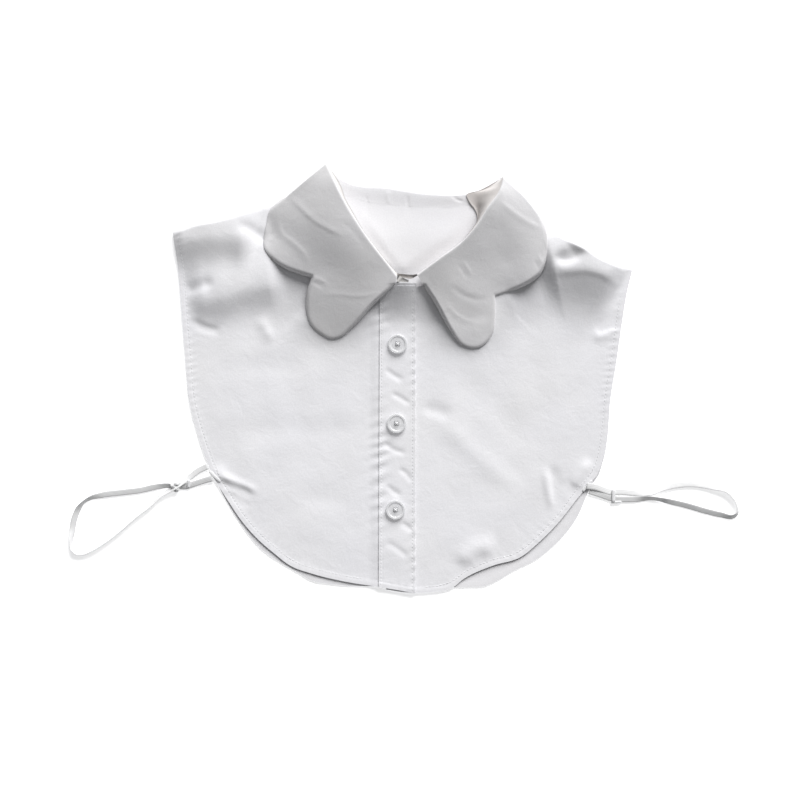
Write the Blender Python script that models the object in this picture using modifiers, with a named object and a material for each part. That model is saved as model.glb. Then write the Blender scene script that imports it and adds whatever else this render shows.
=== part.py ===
"""False collar: a detachable white shirt front with a scalloped collar, laid flat on its back.

The garment lies face up. +X is to the right, +Y towards the neck and +Z up from the surface it rests on.
Tables hold millimetres, and MM turns them into metres. Left and right are as seen from above.
"""
import math

import bmesh
import bpy
import numpy as np

MM = 0.001

# Driving sizes
CLOTH = 1.0 * MM
SEAM_GAP = 0.3 * MM
LAYER = CLOTH + SEAM_GAP
PLACKET_WIDTH = 27.0 * MM
PLACKET_RIGHT = 10.0 * MM
PLACKET_EASE = 0.1 * MM
OVERLAP_SLOPE = 8.0 * MM
SHOULDER_ROLL = 9.0 * MM
SHOULDER_SEAM = 0.9 * MM
FRONT_PUFF = 2.4 * MM
PUFF_REACH = 34.0 * MM
BACK_FALL_CENTRE = (2.6 * MM, 259.4 * MM)
BACK_FALL_RADIUS = 175.4 * MM
BACK_FALL_MARGIN = 14.0 * MM
BACK_FALL_SLOPE = 30.0 * MM
STAND_WIDTH = 11.0 * MM
STAND_END_SHARE = 0.35
STAND_SETBACK = 1.2 * MM
STAND_SLOPE = 1.4
STAND_REACH = (0.04, 0.84)
STAND_TUCK = 3.0 * MM
BUTTON_RADIUS = 7.1 * MM
BUTTON_THICKNESS = 2.6 * MM
BUTTON_RIM = 1.5 * MM
BUTTON_RECESS = 0.7 * MM
BUTTON_TOP_ROUND = 0.5 * MM
BUTTON_FOOT_ROUND = 0.9 * MM
BUTTON_HOLE = 0.85 * MM
BUTTON_HOLE_PITCH = 1.5 * MM
ELASTIC_RADIUS = 1.1 * MM
KNOT_RADIUS = 3.4 * MM
KNOT_FLATNESS = 0.8

# Outlines, each row a point: x, y
SHOULDER_LEFT = [(-170.6, 109.9), (-153.6, 115.8), (-136.5, 119.1), (-124.0, 122.5), (-112.1, 126.5),
                 (-101.8, 128.0), (-87.0, 132.5), (-72.2, 141.0)]
NECK_LEFT = [(-72.2, 141.0), (-62.5, 132.1), (-50.0, 118.8), (-35.9, 97.3), (-14.4, 71.4), (10.0, 64.8)]
ARMHOLE_LEFT = [(-170.6, 109.9), (-166.9, 84.0), (-164.7, 58.1), (-161.7, 21.1), (-157.2, -21.8),
                (-152.8, -38.1), (-146.9, -56.6), (-140.2, -73.6)]
HEM_LEFT = [(-140.2, -73.6), (-129.9, -89.9), (-118.8, -106.2), (-106.9, -119.5), (-95.8, -129.1),
            (-81.8, -139.5), (-67.0, -144.7), (-38.9, -151.3), (-18.9, -154.3), (10.0, -159.5)]
CENTRE_LEFT = [(10.0, 64.8), (9.6, -159.5)]
SHOULDER_RIGHT = [(84.0, 133.6), (94.3, 122.5), (101.8, 112.8), (107.6, 108.6), (115.1, 108.4),
                  (120.2, 105.5), (135.1, 98.8), (146.2, 91.4), (158.0, 86.2), (170.6, 80.3)]
NECK_RIGHT = [(-12.2, 64.8), (16.6, 69.2), (34.4, 80.3), (51.4, 92.9), (62.5, 105.5), (70.7, 118.0),
              (78.1, 126.9), (84.0, 133.6)]
ARMHOLE_RIGHT = [(170.6, 80.3), (166.9, 65.5), (163.2, 43.3), (159.5, 17.4), (154.3, -15.9), (151.3, -45.5),
                 (148.4, -60.3), (143.9, -72.2), (135.1, -81.0)]
HEM_RIGHT = [(-12.2, -156.5), (3.3, -158.7), (21.8, -158.4), (37.4, -155.0), (44.8, -149.1), (67.0, -138.8),
             (87.0, -132.8), (101.8, -121.0), (114.3, -108.4), (126.2, -93.6), (135.1, -81.0)]
CENTRE_RIGHT = [(-12.2, 64.8), (-12.2, -156.5)]
BACK_SEAM = [(-53.6, 143.2), (-42.5, 136.5), (-26.3, 131.3), (-9.2, 129.1), (20.4, 126.9), (46.2, 128.4),
             (64.8, 134.3), (72.0, 139.5)]
BACK_SHOULDER_LEFT = [(-169.4, 108.6), (-153.6, 114.4), (-124.0, 121.0), (-101.8, 126.5), (-87.0, 131.0),
                      (-72.2, 139.5), (-53.6, 146.2)]
BACK_SHOULDER_RIGHT = [(72.0, 142.5), (84.0, 131.8), (94.3, 120.8), (106.0, 107.4), (115.1, 106.9),
                       (135.1, 97.3), (158.0, 84.7), (169.4, 78.9)]
BACK_ARMHOLE_LEFT = [(-169.4, 108.6), (-166.1, 84.0), (-163.9, 58.1), (-160.9, 21.1), (-157.2, -21.8),
                     (-154.3, -30.7), (-148.4, -47.7), (-143.9, -62.5)]
BACK_ARMHOLE_RIGHT = [(169.4, 78.9), (166.1, 65.5), (162.4, 43.3), (158.7, 17.4), (154.3, -15.9),
                      (152.1, -45.5), (150.6, -55.1), (146.2, -70.7)]
BACK_HEM = [(-143.9, -62.5), (-135.1, -82.5), (-118.8, -109.9), (-106.9, -124.7), (-78.1, -143.9),
            (-66.2, -150.6), (-57.4, -152.1), (-1.9, -154.3), (50.0, -154.7), (60.3, -154.3), (72.2, -149.1),
            (81.8, -143.2), (99.5, -134.3), (109.2, -126.9), (121.7, -114.3), (129.9, -102.5),
            (138.8, -82.5), (146.2, -70.7)]
FOLD_LEFT = [(-4.1, 75.8), (-27.0, 105.5), (-40.3, 126.2), (-56.6, 159.5)]
FOLD_RIGHT = [(10.7, 76.6), (27.0, 88.4), (44.0, 101.0), (54.4, 112.8), (62.5, 125.4), (70.7, 137.3),
              (74.4, 149.8)]
FOLD_BACK = [(-56.6, 159.5), (-42.5, 146.9), (-9.2, 141.7), (20.4, 137.3), (50.0, 138.0), (74.4, 149.8)]
LOBE_LEFT_LOWER = [(-5.5, 69.2), (-20.4, 55.1), (-38.9, 35.9), (-45.5, 30.7), (-52.9, 29.2), (-60.3, 32.6),
                   (-67.7, 39.6), (-71.4, 51.0), (-71.1, 62.0), (-67.7, 74.4)]
LOBE_LEFT_UPPER = [(-67.7, 74.4), (-77.3, 77.3), (-88.4, 81.8), (-97.3, 89.2), (-101.8, 95.8),
                   (-102.5, 104.0), (-100.3, 115.8), (-98.8, 123.2), (-87.0, 135.1)]
WRAP_LEFT = [(-56.6, 159.5), (-72.2, 147.0), (-87.0, 135.1)]
LOBE_RIGHT_LOWER = [(15.9, 67.7), (22.6, 57.4), (35.9, 34.4), (42.5, 25.9), (49.2, 22.6), (55.9, 22.6),
                    (62.5, 27.0), (67.0, 34.4), (68.5, 47.0), (68.5, 61.0)]
LOBE_RIGHT_UPPER = [(68.5, 61.0), (75.8, 63.3), (87.7, 67.0), (95.8, 71.4), (101.8, 76.5), (105.0, 84.0),
                    (106.2, 94.3), (106.0, 108.0), (102.5, 118.8), (98.8, 125.4)]
WRAP_RIGHT = [(74.4, 149.8), (81.0, 143.9), (90.7, 135.1), (98.8, 125.4)]

# Soft folds of the fronts: height of the crest (a trough is below zero), half width, line of its crest
FOLDS_LEFT = [(7.0, 13.0, [(-172.0, 97.0), (-104.0, 101.0), (-60.0, 106.0)]),
              (4.0, 13.0, [(-166.0, 60.0), (-90.0, 64.0)]),
              (-3.0, 4.0, [(-124.7, 119.5), (-100.0, 113.5)]),
              (-1.2, 11.0, [(-122.0, -37.0), (-28.0, -37.0)])]
FOLDS_RIGHT = [(12.0, 14.0, [(70.0, 98.0), (105.5, 80.0), (127.7, 80.0), (146.0, 77.0), (168.0, 66.0)]),
               (-4.0, 4.5, [(109.0, 104.0), (128.0, 87.0)]),
               (-1.5, 11.0, [(27.8, 2.6), (87.0, -38.0), (107.0, -60.0)]),
               (-1.2, 6.0, [(11.5, -44.0), (77.0, -102.0)]),
               (-1.8, 8.0, [(10.0, -92.0), (50.0, -143.0)]),
               (-1.4, 4.0, [(112.0, -65.5), (116.5, -97.0)])]

# Collar rise over the fronts: height at the centre front, at the peak, and how fast it falls to the edge
COLLAR_RISE_CENTRE = 5.0 * MM
COLLAR_RISE_PEAK = 13.0 * MM
COLLAR_RISE_POWER = 1.15
COLLAR_END_LIFT = 4.0 * MM
COLLAR_END_SHARE = 0.3
COLLAR_INNER_ROLL = 3.2 * MM
MIDDLE_REACH = 20.0 * MM
BRIDGE = 7.0 * MM
BRIDGE_CLEARANCE = 0.4 * MM
COLLAR_WRAP_ROLL = 9.0 * MM
BACK_ROLL_HEIGHT = 5.4 * MM
BACK_ROLL_SHARE = 0.28
BACK_BAND_START = 0.035
BACK_BAND_SHARE = 0.93

# Places of the three buttons on the placket: name, x, y
BUTTONS = [("button_top", -3.6, 25.5), ("button_middle", -4.4, -33.3), ("button_bottom", -5.2, -97.3)]

# Routes of the side elastics, each row a point of the centre: x, y, z
ELASTICS = {
    "strap_left_front": [(-140.9, -73.9, 1.8), (-149.5, -76.6, 1.1), (-157.2, -79.2, 1.1), (-164.3, -81.0, 1.1)],
    "strap_left_back": [(-144.6, -63.5, 1.1), (-151.3, -67.0, 1.1), (-157.2, -72.9, 1.1), (-165.0, -78.1, 1.1)],
    "strap_left_loop": [(-171.5, -78.6, 1.1), (-182.0, -79.6, 1.1), (-195.0, -82.5, 1.1), (-223.1, -86.2, 1.1),
                        (-232.7, -89.2, 1.1), (-240.1, -95.8, 1.1), (-243.8, -104.0, 1.1),
                        (-245.6, -114.3, 1.1), (-246.2, -121.0, 1.1), (-245.3, -128.0, 1.1),
                        (-237.9, -129.9, 1.1), (-229.8, -126.9, 1.1), (-218.7, -120.2, 1.1),
                        (-208.3, -112.1, 1.1), (-196.5, -101.8, 1.1), (-186.8, -94.3, 1.1),
                        (-178.7, -86.6, 1.1), (-171.3, -81.9, 1.1)],
    "strap_right_front": [(138.3, -80.4, 2.6), (143.5, -79.0, 2.6), (149.6, -82.6, 1.1), (152.4, -84.2, 1.1),
                          (154.8, -84.6, 1.1)],
    "strap_right_back": [(139.4, -83.6, 1.1), (145.0, -83.4, 1.1), (149.6, -86.6, 1.1), (152.4, -88.1, 1.1),
                         (154.8, -88.4, 1.1)],
    "strap_right_loop": [(158.2, -84.2, 1.1), (170.0, -84.5, 1.1), (178.0, -84.9, 1.1), (184.6, -85.3, 1.1),
                         (190.6, -82.5, 1.1), (197.9, -80.3, 1.1), (206.8, -78.1, 1.1), (215.7, -77.3, 1.1),
                         (229.8, -80.3, 1.1), (240.1, -82.5, 1.1), (246.8, -89.2, 1.1), (249.8, -95.8, 1.1),
                         (247.5, -102.1, 1.1), (239.0, -101.2, 1.1), (225.3, -98.0, 1.1), (210.9, -93.6, 1.1),
                         (190.6, -89.4, 1.1), (182.4, -88.6, 1.1), (169.8, -89.6, 1.1), (158.2, -89.6, 1.1)],
}
ELASTIC_STEP = 6.0 * MM
KNOT_LEFT = (-168.0, -80.0)
JOIN_RIGHT = (156.5, -86.9)
JOIN_SIZE = (2.6 * MM, 9.4 * MM, 2.4 * MM)
JOIN_BEVEL = 0.6 * MM

for old in list(bpy.data.objects):
    bpy.data.objects.remove(old, do_unlink=True)

GARMENT = bpy.data.collections.new("false_collar")
TOOLS = bpy.data.collections.new("cutters")
bpy.context.scene.collection.children.link(GARMENT)
bpy.context.scene.collection.children.link(TOOLS)


def finish(name, colour, roughness, transmission=0.0):
    """Material with one colour, roughness and clearness."""
    material = bpy.data.materials.new(name)
    material.use_nodes = True
    shader = material.node_tree.nodes["Principled BSDF"]
    shader.inputs["Base Color"].default_value = (*colour, 1.0)
    shader.inputs["Roughness"].default_value = roughness
    shader.inputs["Metallic"].default_value = 0.0
    shader.inputs["Transmission Weight"].default_value = transmission
    return material


POPLIN = ((0.84, 0.84, 0.86), 0.85)
RESIN = ((0.9, 0.91, 0.93), 0.12, 0.6)
ELASTIC_WEAVE = ((0.86, 0.86, 0.86), 0.8)


def smooth_line(rows, shares):
    """Points on a smooth line through the rows, at the given shares of its length."""
    points = np.array(rows, float) * MM
    knots = np.concatenate(([0.0], np.cumsum(np.linalg.norm(np.diff(points, axis=0), axis=1))))
    slopes = np.gradient(points, knots, axis=0)
    fine = np.linspace(0.0, knots[-1], 60 * len(rows))
    span = np.clip(np.searchsorted(knots, fine, side="right") - 1, 0, len(rows) - 2)
    width = (knots[span + 1] - knots[span])[:, None]
    t = (fine - knots[span])[:, None] / width
    line = ((2 * t**3 - 3 * t**2 + 1) * points[span] + (t**3 - 2 * t**2 + t) * width * slopes[span]
            + (3 * t**2 - 2 * t**3) * points[span + 1] + (t**3 - t**2) * width * slopes[span + 1])
    length = np.concatenate(([0.0], np.cumsum(np.linalg.norm(np.diff(line, axis=0), axis=1))))
    wanted = np.asarray(shares) * length[-1]
    return np.stack([np.interp(wanted, length, column) for column in line.T], axis=1)


def steps(count, power=1.0):
    """Shares from 0 to 1 in count steps, crowded towards 0 where power is over 1."""
    return np.linspace(0.0, 1.0, count + 1) ** power


def joined(*lines):
    """One line from several that follow each other, each shared point kept once."""
    return np.concatenate([lines[0]] + [line[1:] for line in lines[1:]])


def patch(top, bottom, left, right, rows):
    """Grid of plan points that fills four edges, with its rows at the given shares from top to bottom."""
    u = np.linspace(0.0, 1.0, len(top))[None, :, None]
    v = np.asarray(rows)[:, None, None]
    corners = ((1 - u) * (1 - v) * top[0] + u * (1 - v) * top[-1]
               + (1 - u) * v * bottom[0] + u * v * bottom[-1])
    return ((1 - v) * top[None] + v * bottom[None]
            + (1 - u) * left[:, None] + u * right[:, None] - corners)


def ease(low, high, value):
    """Smooth step from 0 at low to 1 at high."""
    t = np.clip((value - low) / (high - low), 0.0, 1.0)
    return t * t * (3 - 2 * t)


def line_distance(x, y, line):
    """Shortest distance in plan from each point to a line of points."""
    best = np.full(np.shape(x), np.inf)
    for start, end in zip(line[:-1], line[1:]):
        run = end - start
        share = np.clip(((x - start[0]) * run[0] + (y - start[1]) * run[1]) / max(run @ run, 1e-18), 0, 1)
        best = np.minimum(best, np.hypot(x - start[0] - share * run[0], y - start[1] - share * run[1]))
    return best


def roll(distance, radius):
    """Quarter-round rise from 0 at an edge to 1 at the radius."""
    return np.sqrt(1.0 - (1.0 - np.clip(distance / radius, 0.0, 1.0)) ** 2)


def folds(x, y, table):
    """Sum of the soft crests and troughs of a table, each a bell across its line."""
    height = np.zeros(np.shape(x))
    for crest, half_width, rows in table:
        away = line_distance(x, y, np.array(rows) * MM) / (half_width * MM)
        height += crest * MM * np.exp(-(away**2))
    return height


EDGE_STEPS = steps(60)
OUTER_EDGES = {
    "left": joined(smooth_line(ARMHOLE_LEFT, EDGE_STEPS), smooth_line(HEM_LEFT, EDGE_STEPS)),
    "right": joined(smooth_line(HEM_RIGHT, EDGE_STEPS), smooth_line(ARMHOLE_RIGHT, EDGE_STEPS)[::-1]),
}
SHOULDERS = {"left": smooth_line(SHOULDER_LEFT, EDGE_STEPS), "right": smooth_line(SHOULDER_RIGHT, EDGE_STEPS)}
FOLDS = {"left": FOLDS_LEFT, "right": FOLDS_RIGHT}


def back_top(x, y):
    """Upper surface of the back panel, raised one layer where the back fall lies under it."""
    reach = np.hypot(x - BACK_FALL_CENTRE[0], y - BACK_FALL_CENTRE[1]) - BACK_FALL_RADIUS
    return CLOTH + LAYER * ease(BACK_FALL_MARGIN + BACK_FALL_SLOPE, BACK_FALL_MARGIN, reach)


def front_full(x, y, side):
    """Upper surface of a front, before its shoulder edge rolls down."""
    puff = FRONT_PUFF * ease(0.0, PUFF_REACH, line_distance(x, y, OUTER_EDGES[side]))
    loft = puff + folds(x, y, FOLDS[side])
    height = back_top(x, y) + LAYER + np.maximum(loft, 0.0)
    if side == "left":
        height = height + LAYER * ease(PLACKET_RIGHT - PLACKET_WIDTH - OVERLAP_SLOPE,
                                       PLACKET_RIGHT - PLACKET_WIDTH, x)
    return height


def front_top(x, y, side):
    """Upper surface of a front, rolling down to the back panel along the shoulder."""
    seam = back_top(x, y) + SHOULDER_SEAM
    return seam + (front_full(x, y, side) - seam) * roll(line_distance(x, y, SHOULDERS[side]), SHOULDER_ROLL)


def stack_top(x, y):
    """Cloth under the collar: either front, and the placket between them."""
    blend = ease(-MIDDLE_REACH, MIDDLE_REACH, x)
    height = (1 - blend) * front_full(x, y, "left") + blend * front_full(x, y, "right")
    middle = ease(-2 * MIDDLE_REACH, -MIDDLE_REACH, x) * ease(2 * MIDDLE_REACH, MIDDLE_REACH, x)
    return height + 2 * LAYER * middle


def bridged(x, y):
    """Height that cloth lying over the fronts takes, spanning from crest to crest."""
    turns = np.arange(8) * math.pi / 4
    around = [stack_top(x + BRIDGE * math.cos(turn), y + BRIDGE * math.sin(turn)) for turn in turns]
    return np.maximum(stack_top(x, y), np.max(around, axis=0)) + BRIDGE_CLEARANCE


def wall(name, plan, height, thickness=CLOTH):
    """Cloth wall under a grid of plan points at the given heights."""
    rows, columns = height.shape
    points = np.dstack([plan, height]).reshape(-1, 3)
    index = np.arange(rows * columns).reshape(rows, columns)
    quads = np.stack([index[1:, :-1], index[1:, 1:], index[:-1, 1:], index[:-1, :-1]], axis=-1).reshape(-1, 4)
    corner = points[quads[0]]
    if np.cross(corner[1] - corner[0], corner[3] - corner[0])[2] < 0:
        quads = quads[:, ::-1]
    mesh = bpy.data.meshes.new(name)
    mesh.from_pydata(points.tolist(), [], quads.tolist())
    mesh.shade_smooth()
    mesh.materials.append(finish(name + "_poplin", *POPLIN))
    piece = bpy.data.objects.new(name, mesh)
    GARMENT.objects.link(piece)
    solid = piece.modifiers.new("thickness", "SOLIDIFY")
    solid.thickness = thickness
    solid.offset = -1.0
    return piece


def back_panel():
    """Back bib: shoulders and neck above, armholes at the sides, hem below."""
    neck = np.array(BACK_SEAM[1:-1]) + (0.0, STAND_TUCK / MM)
    neck = [BACK_SHOULDER_LEFT[-1], *neck.tolist(), BACK_SHOULDER_RIGHT[0]]
    top = joined(smooth_line(BACK_SHOULDER_LEFT, steps(9)), smooth_line(neck, steps(10)),
                 smooth_line(BACK_SHOULDER_RIGHT, steps(9)))
    bottom = smooth_line(BACK_HEM, steps(28))
    rows = steps(16)
    plan = patch(top, bottom, smooth_line(BACK_ARMHOLE_LEFT, rows), smooth_line(BACK_ARMHOLE_RIGHT, rows), rows)
    wall("back_panel", plan, back_top(plan[..., 0], plan[..., 1]))


def front(side):
    """Front bib: shoulder and neck above, armhole outside, centre edge inside, hem below."""
    rows = steps(24, 1.6)
    if side == "left":
        top = joined(smooth_line(SHOULDER_LEFT, steps(10)), smooth_line(NECK_LEFT, steps(10)))
        edges = (smooth_line(ARMHOLE_LEFT, rows), smooth_line(CENTRE_LEFT, rows))
        bottom = smooth_line(HEM_LEFT, steps(20))
    else:
        top = joined(smooth_line(NECK_RIGHT, steps(10)), smooth_line(SHOULDER_RIGHT, steps(10)))
        edges = (smooth_line(CENTRE_RIGHT, rows), smooth_line(ARMHOLE_RIGHT, rows))
        bottom = smooth_line(HEM_RIGHT, steps(20))
    plan = patch(top, bottom, *edges, rows)
    wall("front_" + side, plan, front_top(plan[..., 0], plan[..., 1], side))


PLACKET_TOP = [(-16.8, 61.0), (9.4, 61.0)]
PLACKET_BOTTOM = [(-17.6, -154.6), (-4.0, -156.7), (9.0, -159.2)]


def placket():
    """Band on the left front, from its points moved out."""
    rows = steps(40)
    sides = [smooth_line([PLACKET_TOP[end], PLACKET_BOTTOM[end]], rows) for end in (0, -1)]
    plan = patch(smooth_line(PLACKET_TOP, steps(4)), smooth_line(PLACKET_BOTTOM, steps(4)), *sides, rows)
    wall("placket", plan, front_top(plan[..., 0], plan[..., 1], "left") + LAYER + PLACKET_EASE)


COLLARS = {
    "left": (FOLD_LEFT, LOBE_LEFT_LOWER, LOBE_LEFT_UPPER, WRAP_LEFT),
    "right": (FOLD_RIGHT, LOBE_RIGHT_LOWER, LOBE_RIGHT_UPPER, WRAP_RIGHT),
}


def collar_rise(share):
    """Height of the fold over the fronts, from the centre front at 0 to the peak at 1."""
    return COLLAR_RISE_CENTRE + (COLLAR_RISE_PEAK - COLLAR_RISE_CENTRE) * share


def collar_front(side):
    """Front half of the fall: from the fold at the neck to its two scallops, rolling down at the shoulder."""
    fold_rows, lower, upper, wrap_rows = COLLARS[side]
    across = steps(8, 1.25)
    inner = smooth_line(fold_rows, steps(26))
    outer = joined(smooth_line(lower, steps(14)), smooth_line(upper, steps(12)))
    end = smooth_line([fold_rows[0], lower[0]], across)
    wrap = smooth_line(wrap_rows, across)
    plan = patch(inner, outer, end, wrap, across)
    x, y = plan[..., 0], plan[..., 1]
    share = np.linspace(0.0, 1.0, 27)[None, :]
    out = across[:, None]
    rise = collar_rise(share) * (1 - out) ** COLLAR_RISE_POWER
    rise = rise + COLLAR_END_LIFT * ease(COLLAR_END_SHARE, 0.0, share)
    inner_line = smooth_line(fold_rows, EDGE_STEPS)
    drop = COLLAR_INNER_ROLL * (1 - roll(line_distance(x, y, inner_line), COLLAR_INNER_ROLL))
    full = bridged(x, y) + LAYER + rise - drop
    seam = CLOTH + SHOULDER_SEAM
    turned = roll(line_distance(x, y, smooth_line(wrap_rows, EDGE_STEPS)), COLLAR_WRAP_ROLL)
    wall("collar_" + side, plan, seam + (full - seam) * turned)


def neckband_front(side):
    """Front length of the stand: from just under the fold down to the neck edge of the front."""
    fold_rows = COLLARS[side][0]
    share = np.linspace(0.0, 1.0, 17)
    top = smooth_line(fold_rows, STAND_REACH[0] + STAND_REACH[1] * share)
    run = np.gradient(top, axis=0)
    run /= np.linalg.norm(run, axis=1)[:, None]
    outward = np.stack([-run[:, 1], run[:, 0]], axis=1) * (1 if side == "left" else -1)
    width = STAND_WIDTH * (STAND_END_SHARE + (1 - STAND_END_SHARE) * ease(0.0, 0.5, share))[:, None]
    down = steps(3)
    plan = top[None] + outward[None] * (STAND_SETBACK + down[:, None, None] * width[None])
    x, y = plan[..., 0], plan[..., 1]
    foot = bridged(x, y) + LAYER
    lift = COLLAR_END_LIFT * ease(COLLAR_END_SHARE, 0.0, share)
    head = bridged(x, y) + collar_rise(share) + lift - COLLAR_INNER_ROLL - SEAM_GAP
    slope = (1 - down[:, None]) ** STAND_SLOPE
    wall("neckband_" + side, plan, foot + (np.maximum(head, foot) - foot) * slope)


def neckband_back():
    """Back length of the stand: rolled over at the top edge, down to the neck seam of the back panel."""
    rolled = BACK_ROLL_SHARE * steps(3, 1.6)
    down = np.concatenate((rolled, BACK_ROLL_SHARE + (1 - BACK_ROLL_SHARE) * steps(3)[1:]))
    top = smooth_line(FOLD_BACK, BACK_BAND_START + BACK_BAND_SHARE * steps(18))
    seam = smooth_line(BACK_SEAM, steps(18))
    plan = patch(top, seam, top[0] + (seam[0] - top[0]) * down[:, None],
                 top[-1] + (seam[-1] - top[-1]) * down[:, None], down)
    foot = CLOTH + 2 * LAYER
    rest = LAYER + SEAM_GAP
    crest = rest + (BACK_ROLL_HEIGHT - rest) * roll(down, BACK_ROLL_SHARE)
    height = crest + (foot - BACK_ROLL_HEIGHT) * ease(BACK_ROLL_SHARE, 1.0, down)
    wall("neckband_back", plan, np.repeat(height[:, None], 19, axis=1))


def collar_back():
    """Back half of the fall, turned down and lying flat under the back panel."""
    top = smooth_line(FOLD_BACK, steps(24))
    start = math.atan2(WRAP_LEFT[-1][1] * MM - BACK_FALL_CENTRE[1], WRAP_LEFT[-1][0] * MM - BACK_FALL_CENTRE[0])
    end = math.atan2(WRAP_RIGHT[-1][1] * MM - BACK_FALL_CENTRE[1], WRAP_RIGHT[-1][0] * MM - BACK_FALL_CENTRE[0])
    turn = np.linspace(start, end, 25)
    arc = np.stack([BACK_FALL_CENTRE[0] + BACK_FALL_RADIUS * np.cos(turn),
                    BACK_FALL_CENTRE[1] + BACK_FALL_RADIUS * np.sin(turn)], axis=1)
    arc[0] = np.array(WRAP_LEFT[-1]) * MM
    arc[-1] = np.array(WRAP_RIGHT[-1]) * MM
    rows = steps(5)
    plan = patch(top, arc, smooth_line(WRAP_LEFT, rows), smooth_line(WRAP_RIGHT, rows), rows)
    wall("collar_back", plan, np.full(plan.shape[:2], CLOTH))


def button(name, x, y):
    """Clear four-hole button: turned profile with a rim, then its holes cut through."""
    place = (x * MM, y * MM)
    turns = np.arange(8) * math.pi / 4
    rim_x, rim_y = place[0] + BUTTON_RADIUS * np.cos(turns), place[1] + BUTTON_RADIUS * np.sin(turns)
    under = front_top(rim_x, rim_y, "left")
    base = float(under.max()) + LAYER + PLACKET_EASE + SEAM_GAP
    well = BUTTON_RADIUS - BUTTON_RIM
    profile = [(0.0, BUTTON_THICKNESS - BUTTON_RECESS),
               (well - BUTTON_TOP_ROUND, BUTTON_THICKNESS - BUTTON_RECESS),
               (well, BUTTON_THICKNESS), (BUTTON_RADIUS - BUTTON_TOP_ROUND, BUTTON_THICKNESS),
               (BUTTON_RADIUS, BUTTON_THICKNESS - BUTTON_TOP_ROUND), (BUTTON_RADIUS, BUTTON_FOOT_ROUND),
               (BUTTON_RADIUS - BUTTON_FOOT_ROUND, 0.0), (0.0, 0.0)]
    mesh = bpy.data.meshes.new(name)
    mesh.from_pydata([(r, 0.0, z) for r, z in profile], [(i, i + 1) for i in range(len(profile) - 1)], [])
    mesh.materials.append(finish(name + "_resin", *RESIN))
    piece = bpy.data.objects.new(name, mesh)
    piece.location = (*place, base)
    GARMENT.objects.link(piece)
    screw = piece.modifiers.new("turned", "SCREW")
    screw.steps = screw.render_steps = 20
    screw.use_merge_vertices = True
    screw.merge_threshold = 0.00001
    drill = bmesh.new()
    for i in range(4):
        angle = math.pi / 4 + i * math.pi / 2
        made = bmesh.ops.create_cone(drill, cap_ends=True, segments=6, radius1=BUTTON_HOLE, radius2=BUTTON_HOLE,
                                     depth=4 * BUTTON_THICKNESS)
        bmesh.ops.translate(drill, verts=made["verts"], vec=(BUTTON_HOLE_PITCH * math.cos(angle),
                                                              BUTTON_HOLE_PITCH * math.sin(angle), 0.0))
    drill_mesh = bpy.data.meshes.new(name + "_drill")
    drill.to_mesh(drill_mesh)
    drill.free()
    cutter = bpy.data.objects.new(name + "_drill", drill_mesh)
    cutter.location = piece.location
    cutter.hide_render = True
    cutter.display_type = "WIRE"
    TOOLS.objects.link(cutter)
    holes = piece.modifiers.new("holes", "BOOLEAN")
    holes.operation = "DIFFERENCE"
    holes.object = cutter


def elastic(name, rows):
    """Thin side elastic lying on the surface, as a tube along its route."""
    length = np.sum(np.linalg.norm(np.diff(np.array(rows), axis=0), axis=1)) * MM
    route = smooth_line(rows, steps(max(4, round(length / ELASTIC_STEP))))
    route[:, 2] = np.maximum(route[:, 2], ELASTIC_RADIUS)
    curve = bpy.data.curves.new(name, "CURVE")
    curve.dimensions = "3D"
    curve.bevel_depth = ELASTIC_RADIUS
    curve.bevel_resolution = 2
    curve.use_fill_caps = True
    spline = curve.splines.new("POLY")
    spline.points.add(len(route) - 1)
    for point, place in zip(spline.points, route):
        point.co = (*place, 1.0)
    curve.materials.append(finish(name + "_elastic", *ELASTIC_WEAVE))
    GARMENT.objects.link(bpy.data.objects.new(name, curve))


def knot_left():
    """Knot where the left elastic is tied back on itself."""
    ball = bmesh.new()
    bmesh.ops.create_uvsphere(ball, u_segments=14, v_segments=8, radius=KNOT_RADIUS)
    mesh = bpy.data.meshes.new("knot_left")
    ball.to_mesh(mesh)
    ball.free()
    mesh.shade_smooth()
    mesh.materials.append(finish("knot_left_elastic", *ELASTIC_WEAVE))
    piece = bpy.data.objects.new("knot_left", mesh)
    piece.location = (KNOT_LEFT[0] * MM, KNOT_LEFT[1] * MM, KNOT_RADIUS * KNOT_FLATNESS)
    piece.scale = (1.0, 1.0, KNOT_FLATNESS)
    GARMENT.objects.link(piece)


def join_right():
    """Stitched turn of elastic that holds the right loop together."""
    box = bmesh.new()
    bmesh.ops.create_cube(box, size=1.0)
    bmesh.ops.scale(box, verts=box.verts, vec=JOIN_SIZE)
    mesh = bpy.data.meshes.new("join_right")
    box.to_mesh(mesh)
    box.free()
    mesh.materials.append(finish("join_right_elastic", *ELASTIC_WEAVE))
    piece = bpy.data.objects.new("join_right", mesh)
    piece.location = (JOIN_RIGHT[0] * MM, JOIN_RIGHT[1] * MM, JOIN_SIZE[2] / 2)
    GARMENT.objects.link(piece)
    edge = piece.modifiers.new("edges", "BEVEL")
    edge.width = JOIN_BEVEL
    edge.segments = 2


collar_back()
back_panel()
for name in ("right", "left"):
    front(name)
placket()
neckband_back()
for name in ("left", "right"):
    neckband_front(name)
    collar_front(name)
for row in BUTTONS:
    button(*row)
for name, rows in ELASTICS.items():
    elastic(name, rows)
knot_left()
join_right()
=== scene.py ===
import math

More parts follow.
